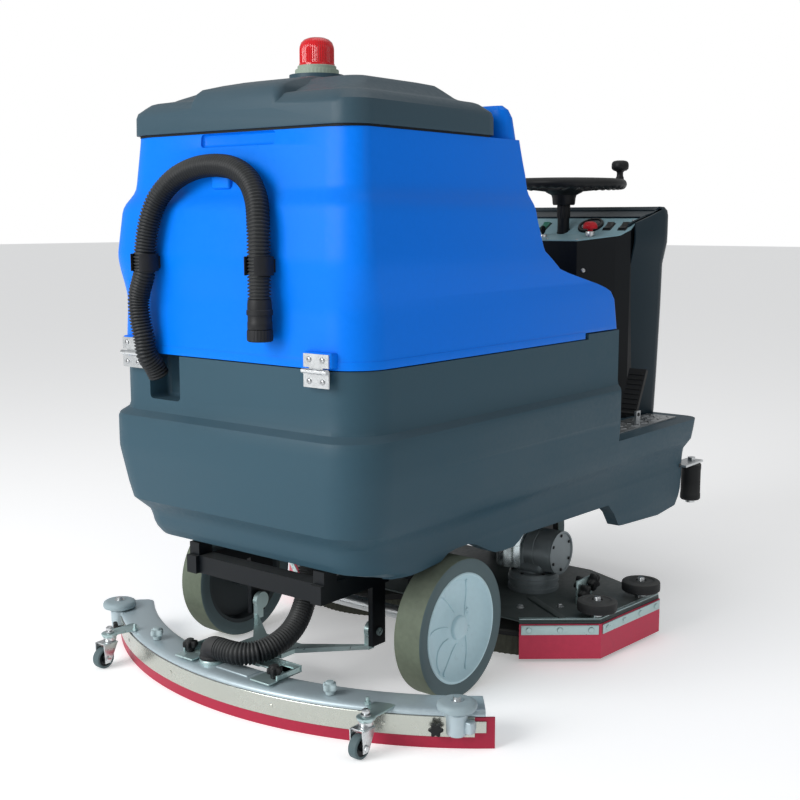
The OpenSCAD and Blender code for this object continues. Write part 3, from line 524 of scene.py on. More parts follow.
# Hook that carries the drain hose, hinge pads and the lid's two lugs
hook = soft_box((-0.004, 0.715, 1.085), (0.048, 0.735, 1.150), 0.006)
round_edges(hook, 0.001)
smooth(hook)
dress(hook, "hose_hook", tank_blue, "recovery_tank_body")
hinge_x = 0.268
for side, tag in ((1, "left"), (-1, "right")):
    pad_x = side * hinge_x
    pad = soft_box((pad_x - 0.036, 0.74, 0.7435), (pad_x + 0.036, 0.768, 0.774), 0.005)
    smooth(pad)
    dress(pad, "hinge_pad_" + tag, tank_blue, "recovery_tank_body")
    lug = soft_box((side * 0.168 - 0.007, 0.230, 1.19), (side * 0.168 + 0.007, 0.246, 1.236), 0.003)
    smooth(lug)
    dress(lug, "lid_lug_" + tag, tank_blue, "recovery_tank_body")

# ---- Solution tank -----------------------------------------------------------------------
# Lower rotomoulded tank in charcoal blue-grey: chassis cover, battery box and foot platform
# in one. Its belt swells below the seam, and it is cut away over the wheels and the brushes.
lower_grey = finish_of("lower_grey", (0.028, 0.070, 0.098), 0.48, drift=0.10, dust=0.10, scale=4,
                       grain=380, bump=0.2, depth=0.0005)
low_rear = [(0.208, 0.60), (0.296, 0.60), (0.318, 0.700), (0.350, 0.718), (0.378, 0.724),
            (0.408, 0.757), (0.524, 0.776), (0.600, 0.776), (0.612, 0.755), (0.737, 0.755)]
low_side = [(0.208, 0.334), (0.296, 0.334), (0.350, 0.335), (0.378, 0.338), (0.408, 0.363),
            (0.524, 0.381), (0.600, 0.381), (0.612, 0.361), (0.737, 0.361)]
low_front = [(0.208, -0.60), (0.217, -0.712), (0.240, -0.732), (0.262, -0.742), (0.30, -0.746),
             (0.440, -0.748), (0.737, -0.748)]
low_heights = [0.208, 0.217, 0.240, 0.262, 0.30, 0.318, 0.336, 0.350, 0.364, 0.378, 0.393, 0.408,
               0.44, 0.48, 0.51, 0.524, 0.54, 0.57, 0.592, 0.600, 0.606, 0.612, 0.622, 0.66,
               0.70, 0.729, 0.737, 0.750]
low_ease = 0.006
lower = moulding([(h, softened(low_side, h, low_ease), at_level(low_front, h),
                   max(0.63, softened(low_rear, h, low_ease))) for h in low_heights],
                 tank_corner, nose=0.045)
# Above the platform the body starts at the seat base; its two front corners are tight
over_platform = soft_box((-0.5, -0.80, 0.467), (0.5, -0.21, 0.90), 0)
seat_base = moulding([(0.40, 0.3835, -0.262, 0.10), (0.95, 0.3835, -0.262, 0.10)], 0.03)
carve(over_platform, seat_base)
carve(lower, over_platform)
over_step = soft_box((-0.5, -0.108, 0.737), (0.5, 0.9, 0.9), 0)
carve(lower, over_step)


def drawn(corners, edges, faces, name):
    # A mesh drawn corner by corner, as the start of a piece
    mesh = bpy.data.meshes.new(name)
    mesh.from_pydata(corners, edges, faces)
    made = bpy.data.objects.new(name, mesh)
    bpy.context.scene.collection.objects.link(made)
    only(made)
    return made


def side_prism(points, half_x, name):
    # A plate drawn in side view as (y, z) corners and drawn out to both sides
    made = drawn([(-half_x, y, z) for y, z in points], [], [tuple(range(len(points)))], name)
    bpy.ops.object.mode_set(mode="EDIT")
    bpy.ops.mesh.select_all(action="SELECT")
    bpy.ops.mesh.extrude_region_move(TRANSFORM_OT_translate={"value": (2 * half_x, 0, 0)})
    close_edit()
    return made


# The underside arches over the rear wheels and the brush deck
belly = side_prism([(0.80, 0.10), (0.80, 0.352), (0.718, 0.350), (0.700, 0.318), (0.650, 0.303),
                    (0.598, 0.296), (0.520, 0.300), (0.456, 0.305), (0.430, 0.318),
                    (0.400, 0.322), (0.354, 0.322), (0.326, 0.315), (0.302, 0.304),
                    (0.272, 0.290), (0.246, 0.280), (0.205, 0.277), (0.169, 0.277),
                    (0.148, 0.286), (0.130, 0.298), (-0.279, 0.290), (-0.310, 0.262),
                    (-0.339, 0.224), (-0.36, 0.2215), (-0.575, 0.2085), (-0.714, 0.2085),
                    (-0.80, 0.2085), (-0.80, 0.10)], 0.5, "belly")
carve(lower, belly)
hose_slot = soft_box((0.136, 0.700, 0.640), (0.232, 0.82, 0.80), 0.010)
carve(lower, hose_slot)
under_room = soft_box((-0.30, -0.30, 0.15), (0.30, 0.69, 0.308), 0.0)
carve(lower, under_room)
fork_room = soft_box((-0.30, -0.715, 0.15), (0.30, -0.29, 0.440), 0.02)
carve(lower, fork_room)
# Room for each brush motor, and the slot of each bumper's bracket
bumper_x = 0.330
for side in (1, -1):
    low, high = sorted((side * 0.11, side * 0.322))
    carve(lower, soft_box((low, -0.165, 0.2), (high, 0.07, 0.392), 0.0))
    low, high = sorted((side * (bumper_x - 0.028), side * (bumper_x + 0.028)))
    carve(lower, soft_box((low, -0.80, 0.323), (high, -0.69, 0.334), 0.0))
# The battery well, open to the seam
carve(lower, soft_box((-0.290, 0.20, 0.335), (0.290, 0.69, 0.80), 0.02))
round_edges(lower, 0.004, 3, 38)
smooth(lower, 30)
dress(lower, "solution_shell", lower_grey, "chassis", "solution_tank")

# ---- Tank lid ----------------------------------------------------------------------------
# Two-tier grey moulded lid that closes the tank's mouth on a black gasket. A raised spine
# block runs back from its middle to the rear edge, and the beacon stands on a round pad.
lid_grey = finish_of("lid_grey", (0.033, 0.068, 0.092), 0.44, drift=0.08, dust=0.12, scale=5,
                     grain=380, bump=0.18, depth=0.0005)
gasket_rubber = finish_of("gasket_rubber", (0.01, 0.011, 0.012), 0.6, drift=0.3)
lid = moulding([(1.203, 0.328, 0.222, 0.723), (1.208, 0.328, 0.222, 0.723),
                (1.240, 0.3275, 0.2225, 0.7225), (1.250, 0.325, 0.226, 0.719),
                (1.262, 0.311, 0.240, 0.706), (1.268, 0.303, 0.248, 0.699),
                (1.2705, 0.296, 0.254, 0.692), (1.274, 0.276, 0.266, 0.672),
                (1.276, 0.268, 0.274, 0.662), (1.280, 0.260, 0.282, 0.654),
                (1.298, 0.236, 0.302, 0.604), (1.306, 0.226, 0.314, 0.592),
                (1.312, 0.200, 0.340, 0.566), (1.3165, 0.150, 0.380, 0.530),
                (1.318, 0.10, 0.410, 0.510)], 0.06)
spine = moulding([(1.205, 0.133, 0.44, 0.7225), (1.24, 0.131, 0.44, 0.7225),
                  (1.262, 0.128, 0.44, 0.720), (1.280, 0.122, 0.44, 0.711),
                  (1.289, 0.116, 0.44, 0.700), (1.300, 0.104, 0.44, 0.655),
                  (1.311, 0.094, 0.44, 0.600), (1.316, 0.088, 0.44, 0.570)], 0.02)
carve(lid, spine, "UNION")
beacon_y = 0.462
bpy.ops.object.select_all(action="DESELECT")
bpy.ops.mesh.primitive_cylinder_add(vertices=48, radius=0.060, depth=0.036,
                                    location=(0, beacon_y, 1.314))
pad = baked(bpy.context.object)
carve(lid, pad, "UNION")
# It is hollow inside
carve(lid, soft_box((-0.314, 0.236, 1.15), (0.314, 0.709, 1.246), 0.03))
round_edges(lid, 0.003, 3, 36)
smooth(lid, 30)
dress(lid, "lid_shell", lid_grey, "lid_body", "tank_lid")
gasket = moulding([(1.1985, 0.321, 0.229, 0.716), (1.204, 0.321, 0.229, 0.716)], 0.055)
inner = moulding([(1.19, 0.313, 0.237, 0.708), (1.22, 0.313, 0.237, 0.708)], 0.05)
carve(gasket, inner)
smooth(gasket, 30)
dress(gasket, "lid_gasket", gasket_rubber, "lid_body")
for side, tag in ((1, "left"), (-1, "right")):
    low, high = sorted((side * 0.150, side * 0.1585))
    ear = soft_box((low, 0.229, 1.218), (high, 0.247, 1.246), 0.002)
    smooth(ear)
    dress(ear, "lid_ear_" + tag, lid_grey, "lid_body")

# ---- Warning beacon ----------------------------------------------------------------------
# Turned parts: a pale ribbed foot on the lid's pad and a moulded red lens with fine
# upright flutes, which catch the light of the lamp inside.
def stood(ob, axis, at):
    # Turns a piece modelled along Z to its axis and puts it in its place
    ob.rotation_euler = {"Z": (0, 0, 0), "X": (0, math.pi / 2, 0),
                         "Y": (-math.pi / 2, 0, 0)}[axis]
    ob.location = at
    return baked(ob)


def turned(profile, at=(0, 0, 0), axis="Z", sides=64, ring=False):
    # Profile is a list of (radius, height); each ring is drawn up from the last and resized.
    # A ring's profile comes back to its first point, so it stays open in the middle.
    bpy.ops.object.select_all(action="DESELECT")
    radius, height = profile[0]
    bpy.ops.mesh.primitive_circle_add(vertices=sides, radius=radius,
                                      fill_type="NOTHING" if ring else "NGON",
                                      location=(0, 0, height))
    ob = baked(bpy.context.object)
    bpy.ops.object.mode_set(mode="EDIT")
    bpy.ops.mesh.select_all(action="SELECT")
    for r, h in profile[1:]:
        bpy.ops.mesh.extrude_region_move(TRANSFORM_OT_translate={"value": (0, 0, h - height)})
        bpy.ops.transform.resize(value=(r / radius, r / radius, 1), center_override=(0, 0, h))
        radius, height = max(r, 1e-6), h
    close_edit()
    return stood(ob, axis, at)


def flute(ob, count, low, high, centre, depth, axis=2):
    # Draws flutes into a turned piece, between two heights along its axis
    for v in ob.data.vertices:
        if low < v.co[axis] < high:
            out = v.co - Vector(centre)
            out[axis] = 0
            a = math.atan2(out.y, out.x) if axis == 2 else math.atan2(out.z, out.y)
            if out.length > 1e-5:
                v.co -= out.normalized() * depth * (0.5 - 0.5 * math.cos(a * count))


beacon_pale = finish_of("beacon_pale", (0.30, 0.37, 0.30), 0.5, drift=0.08, dust=0.15)
foot_ring = turned([(0.0475, 1.332), (0.0475, 1.3425), (0.0462, 1.344), (0.042, 1.344),
                    (0.042, 1.3505), (0.0405, 1.352)], at=(0, beacon_y, 0), sides=144)
flute(foot_ring, 36, 1.3325, 1.343, (0, beacon_y, 0), 0.0012)
smooth(foot_ring, 25)
dress(foot_ring, "beacon_foot", beacon_pale, "lid_body", "beacon_base")
lens_colour = (0.62, 0.006, 0.012)
lens_red, lens_shader = new_material("lens_red", lens_colour, 0.12)
lens_shader.inputs["Coat Weight"].default_value = 0.6
lens_shader.inputs["Subsurface Weight"].default_value = 0.25
lens_shader.inputs["Subsurface Radius"].default_value = (0.02, 0.002, 0.002)
lens_tone = lens_red.node_tree.nodes.new("ShaderNodeGroup")
lens_tone.node_tree = tone_group
lens_tone.inputs["Colour"].default_value = (*lens_colour, 1)
lens_tone.inputs["Drift"].default_value = 0.25
lens_tone.inputs["Dust"].default_value = 0.05
lens_tone.inputs["Roughness"].default_value = 0.14
wire(lens_red, lens_tone.outputs["Colour"], lens_shader.inputs["Base Color"])
wire(lens_red, lens_tone.outputs["Roughness"], lens_shader.inputs["Roughness"])
lens = turned([(0.0385, 1.352), (0.0385, 1.356), (0.0375, 1.357), (0.0375, 1.386),
               (0.0368, 1.3925), (0.0335, 1.401), (0.027, 1.407), (0.018, 1.4105),
               (0.009, 1.4118), (0, 1.412)], at=(0, beacon_y, 0), sides=192)
flute(lens, 48, 1.3565, 1.3935, (0, beacon_y, 0), 0.0009)
smooth(lens, 30)
dress(lens, "beacon_lens", lens_red, "lid_body", "beacon_dome")

# ---- Tank hinges -------------------------------------------------------------------------
# Two zinc-plated butt hinges at the rear. Each leaf is pressed from 3 mm sheet round the pin
# and held by two cross-head screws.
zinc = finish_of("zinc_plate", (0.60, 0.62, 0.63), 0.30, metallic=0.92, drift=0.12, dust=0.04,
                 scale=12, bump=0.03)
screw_steel = finish_of("screw_steel", (0.45, 0.46, 0.47), 0.32, metallic=0.95, drift=0.2,
                        dust=0.05, bump=0.03)


def screw_head(name, at, radius, axis, body, slot=True):
    # A pan head with its cross recess, looking along the axis
    rise = radius * 0.55
    head = turned([(radius, -0.0006), (radius, rise * 0.3), (radius * 0.93, rise * 0.62),
                   (radius * 0.7, rise * 0.9), (radius * 0.4, rise)], sides=20)
    if slot:
        for turn in (0, math.pi / 2):
            bpy.ops.object.select_all(action="DESELECT")
            bpy.ops.mesh.primitive_cube_add(size=1, location=(0, 0, rise))
            bar = bpy.context.object
            bar.scale = (radius * 1.1, radius * 0.2, rise * 0.9)
            bar.rotation_euler = (0, 0, turn + 0.5)
            carve(head, baked(bar))
    smooth(stood(head, axis, at), 35)
    return dress(head, name, screw_steel, body)


for side, tag in ((1, "left"), (-1, "right")):
    for dx in (-0.017, 0.017):
        which = tag + ("_inner" if dx * side < 0 else "_outer")
        x = side * hinge_x + dx
        screw_head("hinge_screw_low_" + which, (x, 0.771, 0.718), 0.0058, "Y", "chassis")
        screw_head("hinge_screw_top_" + which, (x, 0.7712, 0.760), 0.0058, "Y",
                   "recovery_tank_body")
for leaf in ("lower_hinges", "upper_hinges"):
    coat(leaf, zinc)

# ---- Drain hose end: cuff and plug -------------------------------------------------------
# Soft black rubber cuff clamped on the hose and closed by a ribbed plug, which pulls straight
# down out of it. Two moulded clips screwed to the tank hold the hose.
rubber_black = finish_of("rubber_black", (0.013, 0.014, 0.016), 0.5, drift=0.35, dust=0.2,
                         grain=260)
cuff_at = (-0.136, 0.786, 0)
cuff = turned([(0.0235, 0.812), (0.0245, 0.8135), (0.0245, 0.826), (0.0238, 0.828),
               (0.0238, 0.839), (0.0259, 0.8405), (0.0259, 0.8495), (0.0240, 0.851),
               (0.0240, 0.862), (0.0228, 0.870), (0.0190, 0.870), (0.0190, 0.812)], at=cuff_at)
smooth(cuff, 35)
dress(cuff, "cuff_ribbed", rubber_black, "recovery_tank_body", "drain_cuff")
plug = turned([(0.0225, 0.788), (0.0252, 0.790), (0.0258, 0.793), (0.0258, 0.808),
               (0.0250, 0.8112), (0.0186, 0.8115), (0.0186, 0.836), (0.0170, 0.8385)], at=cuff_at,
              sides=96)
flute(plug, 24, 0.792, 0.809, cuff_at, 0.0011)
smooth(plug, 30)
dress(plug, "cuff_plug", rubber_black, "drain_cap_body", "drain_cap")
for x, tag in ((0.201 + 0.026, "left"), (-0.136 + 0.024, "right")):
    for z, level in ((0.923, "low"), (0.947, "top")):
        screw_head("clip_screw_%s_%s" % (tag, level), (x, 0.7655, z), 0.003, "Y",
                   "recovery_tank_body", slot=False)
coat("hose_clips", rubber_black)

# ---- Seat cushions -----------------------------------------------------------------------
# Black vinyl over foam: a seat cushion in the well and a back pad on the upstand, each with
# sewn seams across it. The foam is swollen by a short cloth run.
vinyl = finish_of("seat_vinyl", (0.012, 0.012, 0.013), 0.42, drift=0.3, dust=0.12, grain=420,
                  cells=1, bump=0.25, depth=0.0004)


def padded_box(low, high, edge, puff, cap):
    # Foam in its cover: puff is the pressure that swells it, cap the most that it swells by
    ob = soft_box(low, high, edge, 4)
    even = ob.modifiers.new("even", "REMESH")
    even.mode = "VOXEL"
    even.voxel_size = 0.006
    only(ob)
    bpy.ops.object.modifier_apply(modifier=even.name)
    before = [v.co.copy() for v in ob.data.vertices]
    bpy.ops.object.modifier_add(type="CLOTH")
    cloth = ob.modifiers[-1]
    cloth.settings.use_pressure = True
    cloth.settings.uniform_pressure_force = puff
    cloth.settings.effector_weights.gravity = 0
    cloth.settings.quality = 5
    for step_frame in range(1, 16):
        bpy.context.scene.frame_set(step_frame)
    bpy.ops.object.modifier_apply(modifier=cloth.name)
    bpy.context.scene.frame_set(1)
    for v, old in zip(ob.data.vertices, before):
        moved = v.co - old
        if moved.length > cap:
            v.co = old + moved.normalized() * cap
    return ob


seat = padded_box((-0.219, -0.220, 0.775), (0.219, 0.106, 0.832), 0.020, 3.5, 0.006)
seam_width = 0.004
for v in seat.data.vertices:
    across = (math.exp(-((v.co.y + 0.04) / seam_width) ** 2)
              + math.exp(-((abs(v.co.x) - 0.15) / seam_width) ** 2))
    if v.co.z > 0.81:
        v.co.z -= 0.004 * min(1.0, across)
smooth(seat, 60)
dress(seat, "seat_cushion", vinyl, "recovery_tank_body", "seat_pads")
back = padded_box((-0.200, 0.124, 0.885), (0.200, 0.160, 1.170), 0.016, 3.5, 0.005)
for v in back.data.vertices:
    across = math.exp(-((v.co.z - 1.03) / seam_width) ** 2)
    if v.co.y < 0.14:
        v.co.y += 0.003 * min(1.0, across)
smooth(back, 60)
dress(back, "back_cushion", vinyl, "recovery_tank_body")

# ---- Front cowl --------------------------------------------------------------------------
# Grey moulded shell round the front of the console, with a thick rolled lip that slopes in
# to the panel. It leans out a little towards the top.
console_grey = finish_of("console_grey", (0.012, 0.026, 0.036), 0.40, drift=0.08, dust=0.12,
                         grain=380, bump=0.18, depth=0.0005)


def console_ring(spread, depth, z):
    # Plan of the cowl at one level: rear edges, flanks, round front corners and the nose
    half = [(0.218, -0.606), (0.240, -0.662), (0.2545, -0.705), (0.2555, -0.716), (0.252, -0.728),
            (0.244, -0.738), (0.230, -0.746), (0.208, -0.7515), (0.10, -0.752)]
    return [(x - spread if x > 0.15 else x, y + (depth if y < -0.70 else 0), z) for x, y in half]


def sheet_between(halves, thickness, offset, name):
    # A walled sheet over half rings and their mirror images, from one ring to the next
    rings = [half + [(-x, y, z) for x, y, z in reversed(half)] for half in halves]
    count = len(rings[0])
    faces = [(a + i, a + i + 1, a + count + i + 1, a + count + i)
             for a in range(0, count * (len(rings) - 1), count) for i in range(count - 1)]
    made = drawn([corner for ring in rings for corner in ring], [], faces, name)
    wall = made.modifiers.new("wall", "SOLIDIFY")
    wall.thickness = thickness
    wall.offset = offset
    bpy.ops.object.modifier_apply(modifier=wall.name)
    return made


levels = [(0.037, 0.002, 0.4685), (0.036, 0.001, 0.482), (0.030, 0.0, 0.60), (0.022, 0.0, 0.78),
          (0.019, 0.0, 0.90), (0.006, 0.0, 0.945), (0.001, 0.0, 0.962), (0.0, 0.0, 0.985),
          (0.0, 0.0, 1.035), (0.002, 0.002, 1.048), (0.008, 0.007, 1.055), (0.016, 0.014, 1.0555),
          (0.026, 0.024, 1.047)]
cowl = sheet_between([console_ring(spread * 0.72, depth, z) for spread, depth, z in levels],
                     0.006, -1, "cowl")
bpy.ops.object.mode_set(mode="EDIT")
close_edit()
# The rear edges are cut along the panel's slope
slope = soft_box((-0.30, -0.70, 1.0), (0.30, -0.56, 1.2), 0)
for v in slope.data.vertices:
    if v.co.z < 1.1:
        v.co.z = 0.998 if v.co.y > -0.6 else 1.052
carve(cowl, slope)
round_edges(cowl, 0.0018, 2, 45)
smooth(cowl, 32)
dress(cowl, "front_shell", console_grey, "chassis", "front_cowl")
# The inner lip slopes from the rolled rim in to the edge of the panel
rim_ring = [(x, y, min(1.0480, 1.0500 - 0.386 * (y + 0.70)))
            for x, y, z in console_ring(0.0187, 0.024, 0)]
panel_edge = [(0.197, -0.606), (0.210, -0.645), (0.211, -0.652), (0.211, -0.654), (0.210, -0.655),
              (0.207, -0.656), (0.203, -0.656), (0.195, -0.656), (0.10, -0.656)]
panel_ring = [(x, y, 1.0070 - 0.55 * (y + 0.612)) for x, y in panel_edge]
lip = sheet_between([rim_ring, panel_ring], 0.004, 0, "lip")
bpy.ops.object.mode_set(mode="EDIT")
bpy.ops.mesh.select_all(action="SELECT")
bpy.ops.mesh.normals_make_consistent(inside=False)
bpy.ops.object.mode_set(mode="OBJECT")
smooth(lip, 32)
dress(lip, "cowl_lip", console_grey, "chassis")

# ---- Column housing and control panel ----------------------------------------------------
# Folded black sheet steel round the steering column, held by cross-head screws, closed on top
# by a light grey panel with the key, gauge, rockers and emergency stop.
sheet_black = finish_of("sheet_black", (0.004, 0.006, 0.008), 0.38, drift=0.3, dust=0.2, grain=260)
panel_grey = finish_of("panel_grey", (0.24, 0.40, 0.45), 0.40, drift=0.05, dust=0.06, grain=500)
coat("column_housing", sheet_black)
coat("control_panel", panel_grey)
# The housing's two chamfered corners look out at this angle, and its screws with them
corner_turn = math.radians(47.2)
for tag, x, z in [("a", -0.118, 0.885), ("b", -0.118, 0.70), ("c", 0.118, 0.885),
                  ("d", 0.118, 0.70)]:
    screw = screw_head("housing_screw_" + tag, (0, 0, 0), 0.0065, "Y", "chassis")
    screw.parent = None
    screw.rotation_euler = (0, 0, corner_turn if x < 0 else -corner_turn)
    screw.location = (x, -0.4995, z)
    baked(screw)
    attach(screw, "chassis")

# Screws at the panel's corners
for x, y, z, tag in [(-0.100, -0.494, 0.970, "a"), (0.100, -0.494, 0.970, "b"),
                     (-0.196, -0.640, 1.0225, "c"), (0.196, -0.640, 1.0225, "d"),
                     (0.0, -0.500, 0.9715, "e")]:
    screw_head("panel_screw_" + tag, (x, y, z), 0.004, "Z", "chassis")


def tilt(ob, angle, pivot):
    # Leans a finished mesh with the panel's slope about an X line through pivot
    ob.location = (0, 0, 0)
    c, s = math.cos(angle), math.sin(angle)
    for v in ob.data.vertices:
        y, z = v.co.y - pivot[1], v.co.z - pivot[2]
        v.co.y, v.co.z = pivot[1] + y * c - z * s, pivot[2] + y * s + z * c
    return ob


def swung(ob, angle, x, y):
    # Turns a mesh about the upright line through the origin and carries it to (x, y)
    c, s = math.cos(angle), math.sin(angle)
    for v in ob.data.vertices:
        across, along_y = v.co.x, v.co.y
        v.co.x, v.co.y = x + across * c - along_y * s, y + across * s + along_y * c
    return ob


front_slope = -math.radians(28.8)
gauge_at = (-0.077, -0.612, 1.0045)
gauge_glass = finish_of("gauge_face", (0.02, 0.022, 0.024), 0.15, drift=0.2, dust=0.1)
bezel = turned([(0.0375, 0.0), (0.0375, 0.006), (0.0355, 0.009), (0.031, 0.009), (0.030, 0.004)],
               at=gauge_at)
tilt(bezel, front_slope, gauge_at)
smooth(bezel)
dress(bezel, "gauge_bezel", sheet_black, "chassis")
dial = turned([(0.0298, 0.0045), (0.0298, 0.0062), (0.028, 0.0068), (0.014, 0.0074)], at=gauge_at)
tilt(dial, front_slope, gauge_at)
smooth(dial)
dress(dial, "gauge_glass", gauge_glass, "chassis")
dial_pale = finish_of("dial_pale", (0.6, 0.62, 0.62), 0.4)
for i in range(7):
    mark = soft_box((-0.0006, 0.020, 0.0072), (0.0006, 0.025, 0.0078), 0.0002, 1)
    swung(mark, math.radians(-75 + 25 * i), gauge_at[0], gauge_at[1])
    for v in mark.data.vertices:
        v.co.z += gauge_at[2]
    tilt(mark, front_slope, gauge_at)
    dress(mark, "gauge_mark_%d" % i, dial_pale, "chassis")


rocker_y, rocker_z = -0.610, 1.0035


def rocker_switch(name, x, material, body, node):
    # A bezel stays in the panel; the rocker itself is dished between its two ends
    frame_ring = soft_box((x - 0.0135, -0.629, 1.002), (x + 0.0135, -0.591, 1.0062), 0.0012, 2)
    hole = soft_box((x - 0.0113, -0.627, 0.99), (x + 0.0113, -0.593, 1.02), 0)
    carve(frame_ring, hole)
    tilt(frame_ring, front_slope, (x, rocker_y, rocker_z))
    smooth(frame_ring)
    dress(frame_ring, name + "_bezel", rubber_black, "chassis")
    cap_ob = soft_box((x - 0.0108, -0.6275, 0.992), (x + 0.0108, -0.5925, 1.0085), 0.0012, 2)
    bpy.ops.object.mode_set(mode="EDIT")
    for cut in (-0.619, rocker_y, -0.601):
        bpy.ops.mesh.select_all(action="SELECT")
        bpy.ops.mesh.bisect(plane_co=(0, cut, 0), plane_no=(0, 1, 0))
    bpy.ops.object.mode_set(mode="OBJECT")
    for v in cap_ob.data.vertices:
        if v.co.z > 1.0:
            v.co.z += 0.0035 * ((v.co.y - rocker_y) / 0.0175) ** 2 - 0.0005
    tilt(cap_ob, front_slope, (x, rocker_y, rocker_z))
    smooth(cap_ob, 40)
    return dress(cap_ob, name, material, body, node)


switch_green = finish_of("switch_green", (0.008, 0.15, 0.10), 0.3, drift=0.1)
switch_black = finish_of("switch_black", (0.01, 0.011, 0.012), 0.3, drift=0.2)
rocker_switch("direction_rocker", 0.074, switch_green, "direction_body", "direction_switch")
rocker_switch("vacuum_rocker", -0.136, switch_black, "vacuum_switch_body", "vacuum_switch")
rocker_switch("brush_rocker", -0.184, switch_black, "brush_switch_body", "brush_switch")

button_red = finish_of("button_red", (0.52, 0.012, 0.02), 0.3, drift=0.1, dust=0.1)
stop_at = (-0.112, -0.545, 0)
stop = turned([(0.0075, 0.960), (0.0075, 0.9985), (0.0185, 0.9995), (0.0200, 1.002),
               (0.0200, 1.007), (0.0182, 1.013), (0.0135, 1.0175), (0.0068, 1.0196), (0, 1.020)],
              at=stop_at)
smooth(stop, 40)
dress(stop, "stop_button", button_red, "stop_body", "emergency_stop")
collar = turned([(0.0130, 0.9805), (0.0130, 0.990), (0.0120, 0.992), (0.0095, 0.9925),
                 (0.0092, 0.978)], at=stop_at)
smooth(collar, 40)
dress(collar, "stop_collar", zinc, "chassis")

key_x, key_y = 0.034, -0.532
lock = turned([(0.0125, 0.974), (0.0125, 0.9815), (0.0115, 0.983), (0.0062, 0.983),
               (0.0060, 0.972)], at=(key_x, key_y, 0))
smooth(lock, 40)
dress(lock, "key_lock", zinc, "chassis")
key_blade = soft_box((0.0325, -0.5365, 0.960), (0.0355, -0.5275, 0.992), 0.0006, 1)
key_bow = turned([(0.0105, -0.0028), (0.0115, -0.0018), (0.0115, 0.0018), (0.0105, 0.0028)],
                 axis="X", at=(key_x, key_y, 0.9965), sides=32)
key_hole = turned([(0.0032, -0.01), (0.0032, 0.01)], axis="X", at=(key_x, key_y, 1.001), sides=20)
carve(key_bow, key_hole)
carve(key_blade, key_bow, "UNION")
smooth(key_blade, 40)
dress(key_blade, "ignition_key", switch_black, "key_body", "key")

# ---- Steering wheel, column and spinner knob ---------------------------------------------
# Black moulded wheel: a 30 mm rim with finger grips underneath, four broad spokes and a deep
# domed hub on a fluted column. A mushroom knob stands on the rim for turning with one hand.
grip_black = finish_of("grip_black", (0.011, 0.012, 0.013), 0.42, drift=0.3, dust=0.15, grain=340,
                       bump=0.2)
column_y, rim_z, rim_thick = -0.588, 1.124, 0.0148
finger_grips = 40
bpy.ops.object.select_all(action="DESELECT")
bpy.ops.mesh.primitive_torus_add(major_radius=0.162, minor_radius=rim_thick, major_segments=240,
                                 minor_segments=24, location=(0, column_y, rim_z))
rim = baked(bpy.context.object)
for v in rim.data.vertices:
    a = math.atan2(v.co.y - column_y, v.co.x)
    low = max(0.0, (rim_z - v.co.z) / rim_thick)
    v.co.z += 0.0030 * low * (0.5 + 0.5 * math.cos(finger_grips * a))
hub = turned([(0.0300, 1.066), (0.0320, 1.070), (0.0335, 1.086), (0.0360, 1.094), (0.0500, 1.101),
              (0.0580, 1.107), (0.0590, 1.113), (0.0540, 1.122), (0.0470, 1.131),
              (0.0420, 1.1365), (0.0330, 1.1405), (0.0180, 1.142), (0, 1.142)],
             at=(0, column_y, 0))
for k in range(4):
    spoke = soft_box((0.042, -0.019, 1.103), (0.155, 0.019, 1.1155), 0.005, 3)
    bpy.ops.object.mode_set(mode="EDIT")
    for cut in (0.07, 0.10, 0.13):
        bpy.ops.mesh.select_all(action="SELECT")
        bpy.ops.mesh.bisect(plane_co=(cut, 0, 0), plane_no=(1, 0, 0))
    bpy.ops.object.mode_set(mode="OBJECT")
    # Waisted in the middle and rising to the rim
    for v in spoke.data.vertices:
        reach = (v.co.x - 0.042) / 0.113
        v.co.y *= 1.25 - 0.55 * math.sin(math.pi * min(1.0, reach)) * 0.7
        v.co.z += 0.011 * reach
    carve(hub, swung(spoke, math.pi / 4 + k * math.pi / 2, 0, column_y), "UNION")
carve(hub, rim, "UNION")
smooth(hub, 40)
dress(hub, "wheel_rim_and_hub", grip_black, "steering", "steering_wheel")
coat("steering_shaft", sheet_black)
sleeve = turned([(0.0178, 1.028), (0.0192, 1.030), (0.0192, 1.064), (0.0178, 1.066)],
                at=(0, column_y, 0), sides=96)
flute(sleeve, 16, 1.029, 1.0655, (0, column_y, 0), 0.0016)
smooth(sleeve, 35)
dress(sleeve, "column_sleeve", grip_black, "steering")
knob_low, knob_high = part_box("spinner_knob")
knob_x, knob_y = (knob_low.x + knob_high.x) / 2, (knob_low.y + knob_high.y) / 2
knob = turned([(0.0110, 1.1392), (0.0115, 1.1410), (0.0110, 1.1450), (0.0092, 1.149),
               (0.0090, 1.158), (0.0120, 1.1620), (0.0190, 1.1640), (0.0235, 1.1685),
               (0.0245, 1.1740), (0.0243, 1.1815), (0.0225, 1.1870), (0.0185, 1.1905),
               (0.0110, 1.1922), (0, 1.1925)], at=(knob_x, knob_y, 0))
smooth(knob, 50)
dress(knob, "rim_knob", grip_black, "knob_body", "spinner_knob")

# ---- Foot pedal, tread plates and bumper rollers -----------------------------------------
# Ribbed black pedal on a metal bracket, raised-bar aluminium plates to stand on, and two plain
# rollers on pins that keep the front corners off walls.
coat("accelerator_pedal", grip_black)
lean = math.atan2(0.118, -0.060)
for i in range(8):
    t = 0.14 + 0.105 * i
    rib = soft_box((-0.288, -0.0018, -0.0016), (-0.244, 0.0018, 0.0022), 0.0007, 1)
    tilt(rib, lean - math.pi, (0, 0, 0))
    y, z = -0.4965 - 0.0595 * t, 0.4945 + 0.1215 * t
    for v in rib.data.vertices:
        v.co.y += y
        v.co.z += z
    dress(rib, "pedal_rib_%d" % i, grip_black, "pedal_body")


